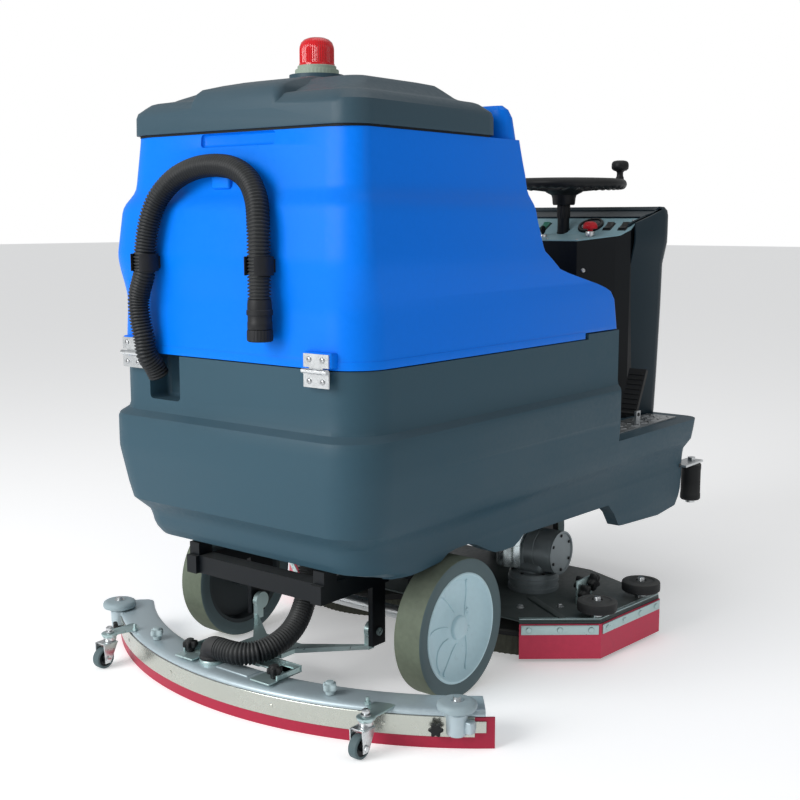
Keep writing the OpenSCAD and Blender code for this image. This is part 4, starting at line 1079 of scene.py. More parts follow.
def merged(pieces):
    only(*pieces)
    bpy.ops.object.join()
    return pieces[0]


tread_metal = finish_of("tread_metal", (0.50, 0.52, 0.53), 0.38, metallic=0.85, drift=0.22,
                        dust=0.25, scale=18, bump=0.05)
coat("pedal_base", tread_metal)
for side, tag in ((1, "left"), (-1, "right")):
    bar = soft_box((-0.009, -0.0022, 0.4703), (0.009, 0.0022, 0.4722), 0.0012, 2)
    bars = []
    for row in range(12):
        for col in range(3):
            one = bar.copy()
            one.data = bar.data.copy()
            bpy.context.scene.collection.objects.link(one)
            bars.append(swung(one, math.radians(45 if (row + col) % 2 else -45),
                              side * (0.252 + 0.026 * col), -0.67 + 0.029 * row))
    bpy.data.objects.remove(bar)
    dress(merged(bars), "tread_bars_" + tag, tread_metal, "chassis")
coat("bumper_brackets", zinc)
roller_black = finish_of("roller_black", (0.014, 0.015, 0.016), 0.55, drift=0.3, dust=0.3)
for side, tag in ((1, "left"), (-1, "right")):
    bumper = turned([(0.0120, 0.217), (0.0130, 0.2152), (0.0260, 0.2152), (0.0290, 0.219),
                     (0.0290, 0.233), (0.0282, 0.235), (0.0282, 0.303), (0.0290, 0.305),
                     (0.0290, 0.319), (0.0260, 0.3228), (0.0130, 0.3228), (0.0120, 0.321)],
                    at=(side * bumper_x, -0.783, 0))
    smooth(bumper, 35)
    dress(bumper, "bumper_" + tag, roller_black, "bumper_" + tag, "bumper_roller_" + tag)

# ---- Rear wheels -------------------------------------------------------------------------
# Solid grey rubber tyres, scuffed olive on the tread, bonded on pale blue-grey cast hubs. Each
# hub is dished between a rolled lip and a raised centre cap and stiffened by curved ribs.
tyre_tread = finish_of("tyre_tread", (0.125, 0.150, 0.110), 0.75, drift=0.35, dust=0.1, scale=22,
                       grain=200, bump=0.4)
tyre_side = finish_of("tyre_side", (0.085, 0.125, 0.135), 0.6, drift=0.12, dust=0.1, scale=12)
hub_grey = finish_of("hub_grey", (0.46, 0.63, 0.69), 0.32, drift=0.1, dust=0.05, scale=9)
# Painted shade: a near-black colour for the back of each hub, inside the wheel, in place of its
# shadow
hub_shadow = finish_of("hub_back_painted_shade", (0.035, 0.045, 0.05), 0.5, drift=0.2, dust=0.1, scale=9)


axle_y, axle_z = 0.415, 0.1525


def mirror_x(ob):
    # Makes the right-hand twin of a piece modelled on the left
    for v in ob.data.vertices:
        v.co.x *= -1
    ob.data.flip_normals()


def two_tone(ob, second, chosen):
    # Gives the chosen faces a second finish
    ob.data.materials.append(second)
    for face in ob.data.polygons:
        if chosen(face):
            face.material_index = 1


# The dished face, as (radius, distance out from the middle line)
dish = [(0.030, 0.3506), (0.045, 0.3435), (0.060, 0.3395), (0.070, 0.3390), (0.080, 0.3398),
        (0.090, 0.3418), (0.100, 0.3455), (0.113, 0.3585)]


def hub_rib(start, turn, reach):
    # A thin raised rib laid on the dished face as a swept curve
    points = []
    for i in range(12):
        t = i / 11
        r = reach[0] + (reach[1] - reach[0]) * t
        a = start + turn * t ** 1.6
        x = at_level(dish, r) + 0.0004
        points.append(Vector((x, axle_y + r * math.sin(a), axle_z + r * math.cos(a))))
    line = along(points, "rib")
    line.data.bevel_depth = 0.0019
    line.data.bevel_resolution = 2
    line.data.use_fill_caps = True
    only(line)
    bpy.ops.object.convert(target="MESH")
    return bpy.context.object


for side, tag in ((1, "left"), (-1, "right")):
    tyre = turned([(0.1216, 0.2965), (0.1340, 0.2945), (0.1475, 0.2930), (0.1515, 0.2950),
                   (0.1525, 0.2985), (0.1525, 0.3575), (0.1515, 0.3610), (0.1475, 0.3630),
                   (0.1340, 0.3620), (0.1216, 0.3600), (0.1216, 0.2965)], axis="X",
                  at=(0, axle_y, axle_z), sides=160, ring=True)
    smooth(tyre, 40)
    face_hub = turned([(0.0152, 0.340), (0.0152, 0.2945), (0.0300, 0.2945), (0.0310, 0.3240),
                       (0.1080, 0.3220), (0.1125, 0.2990), (0.1214, 0.2975), (0.1214, 0.3600),
                       (0.1195, 0.3618), (0.1155, 0.3618), (0.1130, 0.3590), (0.1085, 0.3520),
                       (0.1000, 0.3455), (0.0900, 0.3418), (0.0800, 0.3398), (0.0700, 0.3390),
                       (0.0600, 0.3395), (0.0520, 0.3410), (0.0450, 0.3435), (0.0380, 0.3470),
                       (0.0320, 0.3502), (0.0285, 0.3508), (0.0268, 0.3518), (0.0262, 0.3565),
                       (0.0252, 0.3590), (0.0230, 0.3602), (0, 0.3604)], axis="X",
                      at=(0, axle_y, axle_z), sides=128)
    ribs = [hub_rib(math.radians(a0), math.radians(sweep), reach) for a0, sweep, reach in [
        (-52, 34, (0.034, 0.104)), (14, 30, (0.036, 0.108)), (78, 16, (0.034, 0.108)),
        (120, 22, (0.036, 0.106)), (176, -26, (0.036, 0.108)), (236, -40, (0.036, 0.106))]]
    for a0 in (-62, 252):
        a = math.radians(a0)
        boss = turned([(0.0062, 0.3395), (0.0062, 0.3432), (0.0048, 0.3444), (0.0030, 0.3430)],
                      axis="X", sides=24, at=(0, axle_y + 0.052 * math.sin(a),
                                              axle_z + 0.052 * math.cos(a)))
        ribs.append(boss)
    rib_set = merged(ribs)
    smooth(face_hub, 40)
    smooth(rib_set, 60)
    if side < 0:
        for ob in (tyre, face_hub, rib_set):
            mirror_x(ob)
    dress(tyre, "tyre_" + tag, tyre_tread, "rear_wheel_" + tag, "rear_tyre_" + tag)
    two_tone(tyre, tyre_side, lambda face: abs(face.normal.x) > 0.8)
    dress(face_hub, "wheel_hub_" + tag, hub_grey, "rear_wheel_" + tag, "rear_hub_" + tag)
    # The faces on the hub's inner side take the near-black painted shade
    two_tone(face_hub, hub_shadow, lambda face: abs(face.center.x) < 0.3245)
    dress(rib_set, "hub_ribs_" + tag, hub_grey, "rear_wheel_" + tag)
coat("rear_axle", zinc)

# ---- Steered front wheel and its fork ----------------------------------------------------
# Black turret fork with its drive motor over a solid grey wheel; the tread is scuffed and the
# cast centre is painted black.
front_axle = (0, -0.450, 0.125)
front_tyre = turned([(0.088, -0.033), (0.110, -0.035), (0.120, -0.034), (0.125, -0.029),
                     (0.125, 0.029), (0.120, 0.034), (0.110, 0.035), (0.088, 0.033),
                     (0.088, -0.033)], axis="X", at=front_axle, sides=128, ring=True)
smooth(front_tyre, 40)
dress(front_tyre, "front_tyre", tyre_tread, "drive_wheel_body", "drive_wheel")
two_tone(front_tyre, tyre_side, lambda face: abs(face.normal.x) > 0.8)
front_hub = turned([(0.0102, -0.030), (0.030, -0.030), (0.032, -0.018), (0.080, -0.018),
                    (0.0878, -0.031), (0.0878, 0.031), (0.080, 0.018), (0.032, 0.018),
                    (0.030, 0.030), (0.0102, 0.030), (0.0102, -0.030)], axis="X", at=front_axle,
                   sides=96, ring=True)
smooth(front_hub, 35)
dress(front_hub, "front_hub", sheet_black, "drive_wheel_body")
coat("drive_fork", sheet_black)

# ---- Brush deck --------------------------------------------------------------------------
# Pressed steel plate with a bright folded rear edge. Bolted zinc strips clamp a red rubber skirt
# round its sides, and four guard rollers stand on pins near the corners.
deck_paint = finish_of("deck_paint", (0.026, 0.045, 0.045), 0.42, metallic=0.2, drift=0.3, dust=0.3,
                       scale=14)
skirt_red = finish_of("skirt_red", (0.52, 0.045, 0.09), 0.48, drift=0.2, dust=0.1, scale=11,
                      grain=150, bump=0.3)
steel_strip = finish_of("steel_strip", (0.42, 0.55, 0.55), 0.32, metallic=0.7, drift=0.12,
                        dust=0.05, scale=20,
                        bump=0.03)
deck_line = [(0.348, 0.165), (0.495, 0.045), (0.515, -0.215), (0.415, -0.243), (0.275, -0.302)]


def upright_prism(points, z0, z1, name):
    # A plate drawn in plan and drawn up between two heights
    made = drawn([(x, y, z0) for x, y in points], [], [tuple(range(len(points)))], name)
    bpy.ops.object.mode_set(mode="EDIT")
    bpy.ops.mesh.select_all(action="SELECT")
    bpy.ops.mesh.extrude_region_move(TRANSFORM_OT_translate={"value": (0, 0, z1 - z0)})
    close_edit()
    return made


def both_halves(points):
    return points + [(-x, y) for x, y in reversed(points)]


def beside(out):
    # The skirt's line, run a little outside the plate's rear and side edges
    (xa, ya), (xb, yb), (xc, yc) = deck_line[:3]
    first = Vector((xb - xa, yb - ya)).normalized()
    second = Vector((xc - xb, yc - yb)).normalized()
    n1, n2 = Vector((-first.y, first.x)), Vector((-second.y, second.x))
    n1 = n1 if n1.x > 0 else -n1
    n2 = n2 if n2.x > 0 else -n2
    corner = Vector((xb, yb)) + (n1 + n2) * (out / (1 + n1.dot(n2)))
    return [Vector((xa, ya)) + n1 * out, corner, Vector((xc, yc)) + n2 * out], (first, second), (n1,
                                                                                                 n2)


def edge_band(out0, out1, z0, z1, name):
    outer = [tuple(p) for p in beside(out1)[0]]
    inner = [tuple(p) for p in beside(out0)[0]]
    return upright_prism(outer + inner[::-1], z0, z1, name)


plate = upright_prism(both_halves(deck_line), 0.097, 0.102, "deck")
round_edges(plate, 0.0015, 2, 40)
smooth(plate)
dress(plate, "deck_pressing", deck_paint, "deck_body", "deck_plate")
# Raised ribs pressed into the plate beside each motor
for side, tag in ((1, "left"), (-1, "right")):
    rib = soft_box((-0.010, -0.085, 0.1010), (0.010, 0.085, 0.1065), 0.0025, 3)
    smooth(swung(rib, math.radians(-side * 58), side * 0.352, 0.052))
    dress(rib, "deck_rib_" + tag, deck_paint, "deck_body")
for side, tag in ((1, "left"), (-1, "right")):
    fold = edge_band(-0.003, 0.0, 0.062, 0.0968, "fold")
    lip = edge_band(-0.012, 0.0, 0.1022, 0.1045, "lip")
    round_edges(lip, 0.0008, 2, 40)
    skirt = edge_band(0.0003, 0.0033, 0.008, 0.092, "skirt")
    # A clamp strip and its screws are modelled flat, then carried to each edge of the plate
    line, ways, outs = beside(0.0)
    strips = []
    for leg, screws in ((0, 3), (1, 4)):
        start, way, out = line[leg], ways[leg], outs[leg]
        long = (line[leg + 1] - start).length
        bar = soft_box((0.004, 0.0035, 0.067), (long - 0.004, 0.0062, 0.090), 0.0011, 2)
        for k in range(screws):
            s_at = 0.022 + (long - 0.044) * k / (screws - 1)
            head = turned([(0.0074, 0.0058), (0.0074, 0.0068), (0.0060, 0.0085),
                           (0.0028, 0.0090)], axis="Y", sides=20)
            for v in head.data.vertices:
                v.co.x += s_at
                v.co.z += 0.0785
            strips.append((head, start, way, out))
        strips.append((bar, start, way, out))
    for ob, start, way, out in strips:
        for v in ob.data.vertices:
            p = start + way * v.co.x + out * v.co.y
            v.co.x, v.co.y = p.x, p.y
    strip_set = merged([ob for ob, *frame_of in strips])
    pins = []
    for x, y in ((0.478, 0.032), (0.487, -0.172)):
        pins.append(turned([(0.0135, 0.1022), (0.0135, 0.1172), (0.0079, 0.1176), (0.0079, 0.150),
                            (0.0065, 0.152)], at=(x, y, 0), sides=32))
        wheel = turned([(0.0082, 0.1182), (0.0440, 0.1182), (0.0465, 0.1205), (0.0470, 0.1240),
                        (0.0470, 0.1380), (0.0460, 0.1415), (0.0430, 0.1436), (0.0330, 0.1440),
                        (0.0310, 0.1425), (0.0220, 0.1425), (0.0200, 0.1438), (0.0130, 0.1440),
                        (0.0115, 0.1400), (0.0082, 0.1400), (0.0082, 0.1182)], at=(x, y, 0),
                       sides=96, ring=True)
        smooth(wheel, 35)
        if side < 0:
            mirror_x(wheel)
        where = "rear" if y > 0 else "front"
        dress(wheel, "guard_wheel_%s_%s" % (where, tag), roller_black, "guard_%s_%s" % (where, tag),
              "deck_roller_%s_%s" % (where, tag))
        cap_bolt = turned([(0.0105, 0.1405), (0.0105, 0.1425), (0.0085, 0.1425), (0.0085, 0.1475),
                           (0.0075, 0.1485)], at=(x, y, 0), sides=6)
        pins.append(cap_bolt)
    lug = soft_box((0.080, -0.006, 0.1018), (0.088, 0.026, 0.164), 0.002, 2)
    pins.append(lug)
    for x, y in ((0.372, 0.020), (0.352, -0.140), (0.300, 0.085), (0.180, 0.060), (0.180, -0.210)):
        pins.append(turned([(0.0095, 0.1020), (0.0095, 0.1034), (0.0070, 0.1036),
                            (0.0070, 0.1078), (0.0058, 0.1086)], at=(x, y, 0), sides=6))
    pin_set = merged(pins)
    for ob in (fold, lip, skirt, strip_set, pin_set):
        smooth(ob, 35)
        if side < 0:
            mirror_x(ob)
    dress(fold, "deck_fold_" + tag, deck_paint, "deck_body")
    dress(lip, "deck_lip_" + tag, steel_strip, "deck_body")
    dress(skirt, "skirt_" + tag, skirt_red, "deck_body", *(["deck_skirt"] if side > 0 else []))
    dress(strip_set, "skirt_clamps_" + tag, steel_strip, "deck_body")
    dress(pin_set, "roller_pins_" + tag, zinc, "deck_body")
    # Three black star nuts draw the skirt's clamp bracket tight behind the rollers
    bracket = soft_box((0.390, -0.092, 0.1018), (0.396, -0.020, 0.160), 0.002, 2)
    nuts = []
    for y, z, x in ((-0.038, 0.128, 0.406), (-0.082, 0.146, 0.406), (-0.060, 0.140, 0.380)):
        nut = turned([(0.006, -0.010), (0.017, -0.009), (0.0225, -0.006), (0.0225, 0.004),
                      (0.018, 0.008), (0.006, 0.009)], axis="X", at=(x, y, z), sides=60)
        flute(nut, 5, x - 0.0095, x + 0.0085, (x, y, z), 0.008, axis=0)
        nuts.append(nut)
    nut_set = merged(nuts)
    for ob in (bracket, nut_set):
        smooth(ob, 35)
        if side < 0:
            mirror_x(ob)
    dress(bracket, "clamp_bracket_" + tag, steel_strip, "deck_body")
    dress(nut_set, "star_nuts_" + tag, grip_black, "deck_body")

# ---- Brush gear motors -------------------------------------------------------------------
# Grey die-cast right-angle gearboxes: a ribbed base ring bolted to the deck, a drum with a
# screwed end cover, and the motor's polished can standing on it.
cast_grey = finish_of("cast_grey", (0.20, 0.235, 0.25), 0.42, metallic=0.45, drift=0.25, dust=0.25,
                      scale=16,
                      grain=240, bump=0.35)
polished = finish_of("polished_can", (0.62, 0.70, 0.72), 0.2, metallic=0.9, drift=0.08, dust=0.03,
                     scale=10, bump=0.02)
brush_x, brush_y = 0.236, -0.075
drum_y, drum_z = -0.078, 0.204
for side, tag in ((1, "left"), (-1, "right")):
    base = turned([(0.050, 0.1024), (0.064, 0.1024), (0.064, 0.112), (0.0605, 0.1135),
                   (0.0605, 0.1235), (0.064, 0.125), (0.064, 0.134), (0.061, 0.1365),
                   (0.061, 0.145), (0.058, 0.148), (0.040, 0.1485), (0.036, 0.160)],
                  at=(brush_x, brush_y, 0), sides=96)
    body = soft_box((0.200, -0.118, 0.150), (0.284, -0.032, 0.225), 0.014, 4)
    carve(base, body, "UNION")
    drum = turned([(0.050, 0.232), (0.054, 0.236), (0.054, 0.262), (0.0525, 0.263),
                   (0.0525, 0.266), (0.054, 0.267), (0.054, 0.306), (0.0532, 0.3085),
                   (0.0525, 0.310), (0.0545, 0.3105), (0.0545, 0.3155), (0.050, 0.3158),
                   (0.049, 0.3135), (0.030, 0.3135), (0.012, 0.3145)], axis="X",
                  at=(0, drum_y, drum_z), sides=96)
    carve(base, drum, "UNION")
    for k in range(5):
        rib = soft_box((0.226, -0.012, 0.1), (0.2315, 0.012, 0.158), 0.001, 1)
        for v in rib.data.vertices:
            v.co.x, v.co.y = (0.0605 if v.co.x > 0.229 else 0.058), v.co.y * 0.3
            v.co.z = min(max(v.co.z, 0.103), 0.147)
        carve(base, swung(rib, math.radians(-20 + 50 * k), brush_x, brush_y), "UNION")
    bolts = []
    for k in range(6):
        a = math.radians(30 + 60 * k)
        c, s = math.cos(a), math.sin(a)
        bolts.append(turned([(0.0042, 0.3130), (0.0042, 0.3156), (0.0030, 0.3162)], axis="X",
                            sides=6, at=(0, drum_y + 0.043 * c, drum_z + 0.043 * s)))
        bolts.append(turned([(0.0045, 0.1480), (0.0045, 0.1515), (0.0035, 0.1522)], sides=6,
                            at=(brush_x + 0.053 * c, brush_y + 0.053 * s, 0)))
    can = turned([(0.0445, 0.1605), (0.0450, 0.1625), (0.0450, 0.2150), (0.0440, 0.2155),
                  (0.0440, 0.2165), (0.0450, 0.2170), (0.0450, 0.3060), (0.0425, 0.3080),
                  (0.0425, 0.3150), (0.0400, 0.3180), (0.0200, 0.3190), (0.0180, 0.3245)],
                 at=(0.188, -0.060, 0), sides=96)
    bolt_set = merged(bolts)
    for ob in (base, can, bolt_set):
        smooth(ob, 35)
        if side < 0:
            mirror_x(ob)
    dress(base, "gearbox_" + tag, cast_grey, "deck_body",
          *(["brush_gearmotors"] if side > 0 else []))
    dress(can, "motor_can_" + tag, polished, "deck_body")
    dress(bolt_set, "gearbox_bolts_" + tag, sheet_black, "deck_body")
coat("deck_link", sheet_black)

# ---- Brushes -----------------------------------------------------------------------------
# Two disc brushes, each a black moulded back on its motor's hub. Stiff dark nylon tufts are set
# into the back in rings and splay out a little towards the floor.
bristle = finish_of("bristle_nylon", (0.055, 0.058, 0.045), 0.8, drift=0.5, dust=0.1, scale=60)
for side, tag in ((1, "left"), (-1, "right")):
    disc = turned([(0.0122, 0.0840), (0.0395, 0.0840), (0.040, 0.058), (0.213, 0.0578),
                   (0.2165, 0.054), (0.2165, 0.0445), (0.0700, 0.0440), (0.0690, 0.050),
                   (0.0122, 0.050), (0.0122, 0.0840)], at=(side * brush_x, brush_y, 0), sides=96,
                  ring=True)
    smooth(disc, 35)
    dress(disc, "brush_back_" + tag, roller_black, "brush_%s_body" % tag, "brush_" + tag)
    tufts = turned([(0.100, 0.0445), (0.2175, 0.0445), (0.2240, 0.0010), (0.1000, 0.0010),
                    (0.100, 0.0445)], at=(side * brush_x, brush_y, 0), sides=288, ring=True)
    flute(tufts, 96, 0.0, 0.044, (side * brush_x, brush_y, 0), 0.004)
    smooth(tufts, 30)
    dress(tufts, "brush_tufts_" + tag, bristle, "brush_%s_body" % tag)

# ---- Squeegee ----------------------------------------------------------------------------
# A curved cast aluminium channel holds a red front blade and a red rear blade. The rear one is
# clamped by a brushed stainless strap. All are drawn as a section turned about the curve's centre.
cast_pale = finish_of("cast_pale", (0.42, 0.51, 0.55), 0.38, metallic=0.35, drift=0.14, dust=0.1,
                      scale=14,
                      grain=300, bump=0.25)
stainless = finish_of("stainless_strap", (0.50, 0.52, 0.47), 0.24, metallic=0.9, drift=0.1,
                      dust=0.02, scale=9, bump=0.03)
roller_pale = finish_of("roller_pale", (0.30, 0.38, 0.41), 0.42, drift=0.12, dust=0.1, scale=12)
blade_red = finish_of("blade_red", (0.36, 0.020, 0.050), 0.42, drift=0.18, dust=0.05, scale=12,
                      grain=150, bump=0.2)


# The blade's outer face curves at this radius about a point under the machine
arc_y, arc_radius = -0.076, 0.876


def swept_section(section, half, name):
    # Section is (distance outside the curve, height); it is spun from one end to the other
    a = math.radians(half)
    ring = [((arc_radius + d) * math.sin(-a), arc_y + (arc_radius + d) * math.cos(-a), z)
            for d, z in section]
    made = drawn(ring, [(i, (i + 1) % len(ring)) for i in range(len(ring))], [], name)
    bpy.ops.object.mode_set(mode="EDIT")
    bpy.ops.mesh.select_all(action="SELECT")
    bpy.ops.mesh.spin(steps=96, angle=2 * a, center=(0, arc_y, 0), axis=(0, 0, 1))
    bpy.ops.mesh.select_all(action="DESELECT")
    bpy.ops.mesh.select_non_manifold()
    bpy.ops.mesh.fill_holes(sides=0)
    close_edit()
    return made


def on_curve(ob, degrees):
    # Carries a piece modelled beside the machine's middle line round to its place on the curve
    a = math.radians(degrees)
    for v in ob.data.vertices:
        d, s = arc_radius + v.co.y, v.co.x
        v.co.x = d * math.sin(a) + s * math.cos(a)
        v.co.y = arc_y + d * math.cos(a) - s * math.sin(a)
    return ob


def joined(pieces, name, material, body, *nodes, angle=35):
    whole = merged(pieces)
    smooth(whole, angle)
    return dress(whole, name, material, body, *nodes)


blade_arc = math.degrees(math.asin(0.567 / arc_radius))
channel = swept_section([(-0.084, 0.062), (-0.084, 0.0715), (-0.0825, 0.0745), (-0.078, 0.0770),
                         (-0.070, 0.0790), (-0.050, 0.0800), (-0.030, 0.0797), (-0.016, 0.0785),
                         (-0.008, 0.0768), (-0.0035, 0.0742), (-0.0010, 0.0712), (0.0000, 0.0675),
                         (-0.0008, 0.0655), (-0.0055, 0.0650), (-0.0060, 0.0300),
                         (-0.0085, 0.0300), (-0.0095, 0.0660), (-0.0745, 0.0660),
                         (-0.0750, 0.0300), (-0.0785, 0.0300), (-0.0795, 0.0620)],
                        blade_arc - 1.2, "channel")
smooth(channel, 40)
dress(channel, "squeegee_channel", cast_pale, "squeegee", "squeegee_body")
blade_pair = [swept_section([(-0.005, 0.0), (-0.005, 0.0640), (0.0, 0.0640), (0.0, 0.0006),
                             (-0.0006, 0.0)], blade_arc, "rear_blade"),
              swept_section([(-0.079, 0.0), (-0.079, 0.0295), (-0.075, 0.0295), (-0.075, 0.0)],
                            blade_arc - 3, "front_blade")]
joined(blade_pair, "squeegee_blade_pair", blade_red, "squeegee", "squeegee_blades")
strap = swept_section([(0.0003, 0.0245), (0.0003, 0.0655), (0.0020, 0.0655), (0.0025, 0.0648),
                       (0.0025, 0.0252), (0.0020, 0.0245)], blade_arc - 2.6, "strap")
tabs = [strap]
for degrees in (-(blade_arc - 1.9), blade_arc - 1.9):
    tab = soft_box((-0.012, 0.0003, 0.033), (0.012, 0.0023, 0.057), 0.0008, 2)
    tabs.append(on_curve(tab, degrees))
for degrees in (-26, -10, 10, 26):
    rivet = turned([(0.0040, 0.0020), (0.0040, 0.0030), (0.0025, 0.0038)], axis="Y", sides=20)
    for v in rivet.data.vertices:
        v.co.z += 0.045
    tabs.append(on_curve(rivet, degrees))
joined(tabs, "blade_strap", stainless, "squeegee")

# ---- Squeegee fittings -------------------------------------------------------------------
# Bent steel bracket with two ears, four star knobs on studs, a black rubber elbow on the suction
# port, latch knobs at the strap's ends, swivel casters, and end rollers on cast arms.
port_x, port_y = 0.060, 0.752
ears = []
for side in (1, -1):
    low, high = sorted((side * 0.088, side * 0.142))
    ear = soft_box((low, 0.690, 0.0836), (high, 0.785, 0.0876), 0.0012, 2)
    ears.append(ear)
    low, high = sorted((side * 0.138, side * 0.142))
    ears.append(soft_box((low, 0.690, 0.0836), (high, 0.760, 0.0975), 0.001, 1))
ears.append(soft_box((-0.142, 0.684, 0.0836), (0.142, 0.716, 0.0876), 0.0012, 2))
ears.append(soft_box((-0.142, 0.684, 0.0836), (0.142, 0.688, 0.0985), 0.001, 1))
ears.append(soft_box((-0.030, 0.612, 0.0722), (0.030, 0.700, 0.0836), 0.0025, 2))
ears.append(turned([(0.0270, 0.0790), (0.0270, 0.0860), (0.0255, 0.0880), (0.0180, 0.0882)],
                   at=(port_x, port_y, 0)))
joined(ears, "swing_bracket", steel_strip, "squeegee")
pad_oval = soft_box((-0.065, 0.728, 0.0770), (0.030, 0.770, 0.0822), 0.0025, 3)
smooth(pad_oval)
dress(pad_oval, "port_pad", cast_pale, "squeegee")


def star(x, y, z, lobes=6):
    # A star knob on its stud, standing on height z
    knob = turned([(0.0085, z), (0.0095, z + 0.004), (0.0095, z + 0.008), (0.0150, z + 0.0095),
                   (0.0170, z + 0.0120), (0.0170, z + 0.0190), (0.0155, z + 0.0225),
                   (0.0090, z + 0.0235), (0.0080, z + 0.0275), (0.0050, z + 0.0280)],
                  at=(x, y, 0), sides=96)
    flute(knob, lobes, z + 0.009, z + 0.0229, (x, y, 0), 0.0055)
    return knob


joined([star(0.128, 0.752, 0.0884), star(-0.128, 0.752, 0.0884)], "knobs_black", grip_black,
       "squeegee")
knob_grey = finish_of("knob_grey", (0.36, 0.45, 0.47), 0.35, drift=0.1, dust=0.05)
joined([star(0.262, 0.732, 0.0800, lobes=4), star(-0.262, 0.732, 0.0800, lobes=4)], "knobs_grey",
       knob_grey, "squeegee")
elbow_line = [Vector((port_x, port_y, z)) for z in (0.0886, 0.0940, 0.1000)]
for k in range(1, 9):
    a = math.radians(90 * k / 9)
    elbow_line.append(Vector((port_x - 0.012 * (1 - math.cos(a)), port_y,
                              0.1015 + 0.012 * math.sin(a))))
elbow_line += [Vector((0.046, port_y, 0.1135)), Vector((0.0345, port_y, 0.1140))]
elbow = along(elbow_line, "elbow")
elbow.data.bevel_depth = 0.0247
elbow.data.bevel_resolution = 10
elbow.data.use_fill_caps = True
only(elbow)
bpy.ops.object.convert(target="MESH")
elbow = bpy.context.object
clamp_ring = turned([(0.0200, 0.0886), (0.0262, 0.0890), (0.0266, 0.0930), (0.0256, 0.0965),
                     (0.0200, 0.0970)], at=(port_x, port_y, 0))
joined([elbow, clamp_ring], "suction_elbow", rubber_black, "squeegee", "squeegee_knobs", angle=50)
latches = []
for degrees in (-(blade_arc - 7.5), blade_arc - 7.5):
    latch = turned([(0.004, 0.0026), (0.004, 0.0100), (0.0120, 0.0110), (0.0150, 0.0135),
                    (0.0150, 0.0190), (0.0130, 0.0215), (0.005, 0.0220)], axis="Y", sides=60)
    for v in latch.data.vertices:
        if v.co.y > 0.0105:
            a = math.atan2(v.co.z, v.co.x)
            shrink = 1 - 0.3 * (0.5 - 0.5 * math.cos(6 * a))
            v.co.x *= shrink
            v.co.z *= shrink
        v.co.z += 0.044
    latches.append(on_curve(latch, degrees))
joined(latches, "latch_knobs", grip_black, "squeegee")

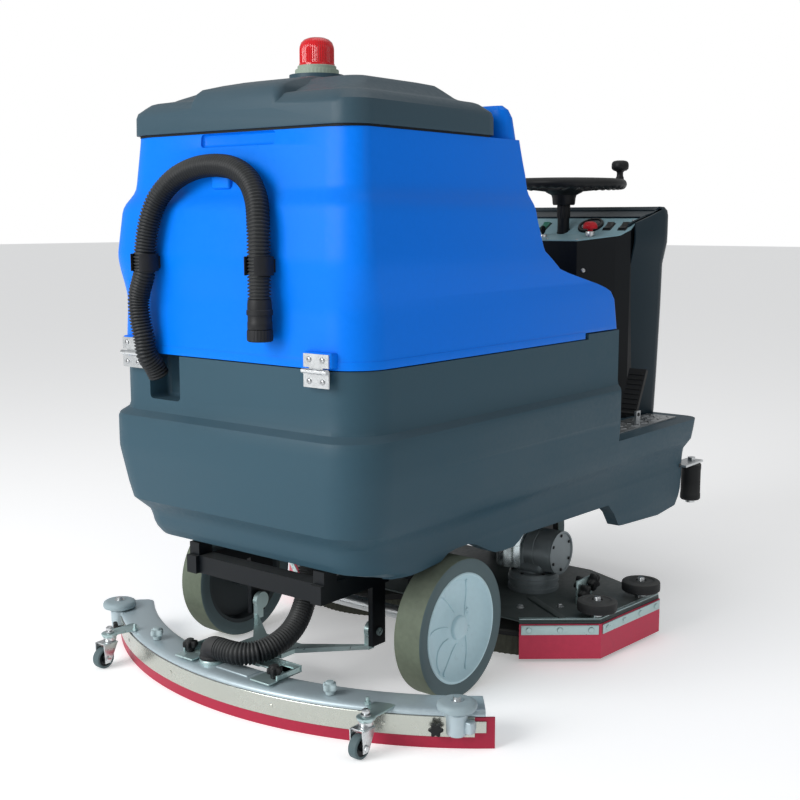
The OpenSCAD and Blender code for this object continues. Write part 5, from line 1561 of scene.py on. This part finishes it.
caster_x, caster_y = 0.386, 0.768
arms = []
for side in (1, -1):
    arms.append(turned([(0.006, 0.0700), (0.0165, 0.0702), (0.0190, 0.0740), (0.0190, 0.0775),
                        (0.0170, 0.0788), (0.0060, 0.0790)], at=(side * caster_x, caster_y, 0),
                       sides=48))
    low, high = sorted((side * 0.370, side * 0.402))
    web = soft_box((low, 0.690, 0.0742), (high, 0.770, 0.0788), 0.0015, 2)
    for v in web.data.vertices:
        if v.co.y < 0.72:
            v.co.x = side * caster_x + (v.co.x - side * caster_x) * 1.5 - side * 0.012
    arms.append(web)
    arms.append(turned([(0.0065, 0.0785), (0.0065, 0.0845), (0.0040, 0.0850), (0.0040, 0.0930),
                        (0.0030, 0.0940)], at=(side * 0.352, 0.722, 0), sides=6))
joined(arms, "caster_brackets", steel_strip, "squeegee")
for side, tag in ((1, "left"), (-1, "right")):
    x0, y0 = side * caster_x, caster_y
    wheel_at = (x0, y0 + 0.020, 0.024)
    fork = [turned([(0.0135, 0.0600), (0.0150, 0.0640), (0.0150, 0.0690), (0.0115, 0.0735),
                    (0.0060, 0.0737)], at=(x0, y0, 0)), turned([(0.0048, 0.0500),
                                                                (0.0048, 0.0860),
                                                                (0.0085, 0.0862),
                                                                (0.0085, 0.0905),
                                                                (0.0050, 0.0935),
                                                                (0.0030, 0.0938)], at=(x0, y0, 0),
                                                               sides=24),
            turned([(0.0100, 0.0794), (0.0105, 0.0800), (0.0105, 0.0815), (0.0098, 0.0822)],
                   at=(x0, y0, 0), sides=40), soft_box((x0 - 0.0172, y0 - 0.010, 0.0562),
                                                       (x0 + 0.0172, y0 + 0.026, 0.0598), 0.0012,
                                                       2)]
    for cheek in (-0.0172, 0.0142):
        plate_ob = soft_box((x0 + cheek, y0 - 0.010, 0.014),
                            (x0 + cheek + 0.003, y0 + 0.030, 0.0590), 0.0009, 2)
        for v in plate_ob.data.vertices:
            low = min(1.0, max(0.0, (0.059 - v.co.z) / 0.045))
            centre = y0 + 0.010 + 0.010 * low
            v.co.y = centre + (v.co.y - (y0 + 0.010)) * (1 - 0.62 * low)
        fork.append(plate_ob)
    for out in (-1, 1):
        nut_line = ([(0.0068, 0.0172), (0.0068, 0.0205), (0.0050, 0.0215)] if out > 0 else
                    [(0.0050, -0.0215), (0.0068, -0.0205), (0.0068, -0.0172)])
        fork.append(turned(nut_line, axis="X", at=wheel_at, sides=6))
    joined(fork, "caster_fork_" + tag, zinc, "caster_" + tag, "caster_fork_" + tag)
    roll = turned([(0.0180, -0.0095), (0.0215, -0.0100), (0.0235, -0.0085), (0.0240, -0.0050),
                   (0.0240, 0.0050), (0.0235, 0.0085), (0.0215, 0.0100), (0.0180, 0.0095),
                   (0.0180, -0.0095)], axis="X", at=wheel_at, sides=80, ring=True)
    smooth(roll, 40)
    dress(roll, "caster_roll_" + tag, tyre_side, "caster_wheel_%s_body" % tag,
          "caster_wheel_" + tag)
    core = turned([(0.0042, -0.0115), (0.0080, -0.0115), (0.0085, -0.0070), (0.0160, -0.0070),
                   (0.0179, -0.0090), (0.0179, 0.0090), (0.0160, 0.0070), (0.0085, 0.0070),
                   (0.0080, 0.0115), (0.0042, 0.0115), (0.0042, -0.0115)], axis="X", at=wheel_at,
                  sides=60, ring=True)
    smooth(core, 35)
    dress(core, "caster_core_" + tag, sheet_black, "caster_wheel_%s_body" % tag)
    end_at = (side * 0.509, 0.639, 0)
    disc = turned([(0.0072, 0.0802), (0.0200, 0.0802), (0.0330, 0.0812), (0.0385, 0.0838),
                   (0.0400, 0.0880), (0.0398, 0.0925), (0.0380, 0.0965), (0.0335, 0.0990),
                   (0.0240, 0.0998), (0.0120, 0.1002), (0.0105, 0.0990), (0.0072, 0.0990),
                   (0.0072, 0.0802)], at=end_at, sides=96, ring=True)
    smooth(disc, 40)
    dress(disc, "end_disc_" + tag, roller_pale, "end_" + tag, "end_roller_" + tag)
    arm = [turned([(0.0180, 0.0300), (0.0205, 0.0330), (0.0215, 0.0640), (0.0225, 0.0740),
                   (0.0200, 0.0780), (0.0120, 0.0796)], at=end_at, sides=48)]
    low, high = sorted((side * 0.470, side * 0.515))
    arm.append(soft_box((low, 0.606, 0.0640), (high, 0.652, 0.0770), 0.004, 3))
    arm.append(soft_box((side * 0.532 - 0.012, 0.622, 0.036), (side * 0.532 + 0.012, 0.641, 0.062),
                        0.004, 3))
    joined(arm, "end_arm_" + tag, cast_pale, "squeegee")
    bolt = turned([(0.0070, 0.0700), (0.0070, 0.1000), (0.0120, 0.1003), (0.0120, 0.1015),
                   (0.0080, 0.1016), (0.0080, 0.1060), (0.0065, 0.1075)], at=end_at, sides=24)
    smooth(bolt, 35)
    dress(bolt, "end_bolt_" + tag, zinc, "squeegee")

# ---- Frame, batteries and hidden running gear --------------------------------------------
# Welded black box-section frame under the tanks, four black battery blocks, the grey cast
# suction unit in the tank, and the black lift actuator of the squeegee.
battery_case = finish_of("battery_case", (0.012, 0.013, 0.015), 0.5, drift=0.3, dust=0.3)
coat("frame", sheet_black)
coat("battery_pack", battery_case)
coat("lift_actuator", grip_black)
coat("suction_unit", cast_grey)
coat("squeegee_arm", steel_strip)
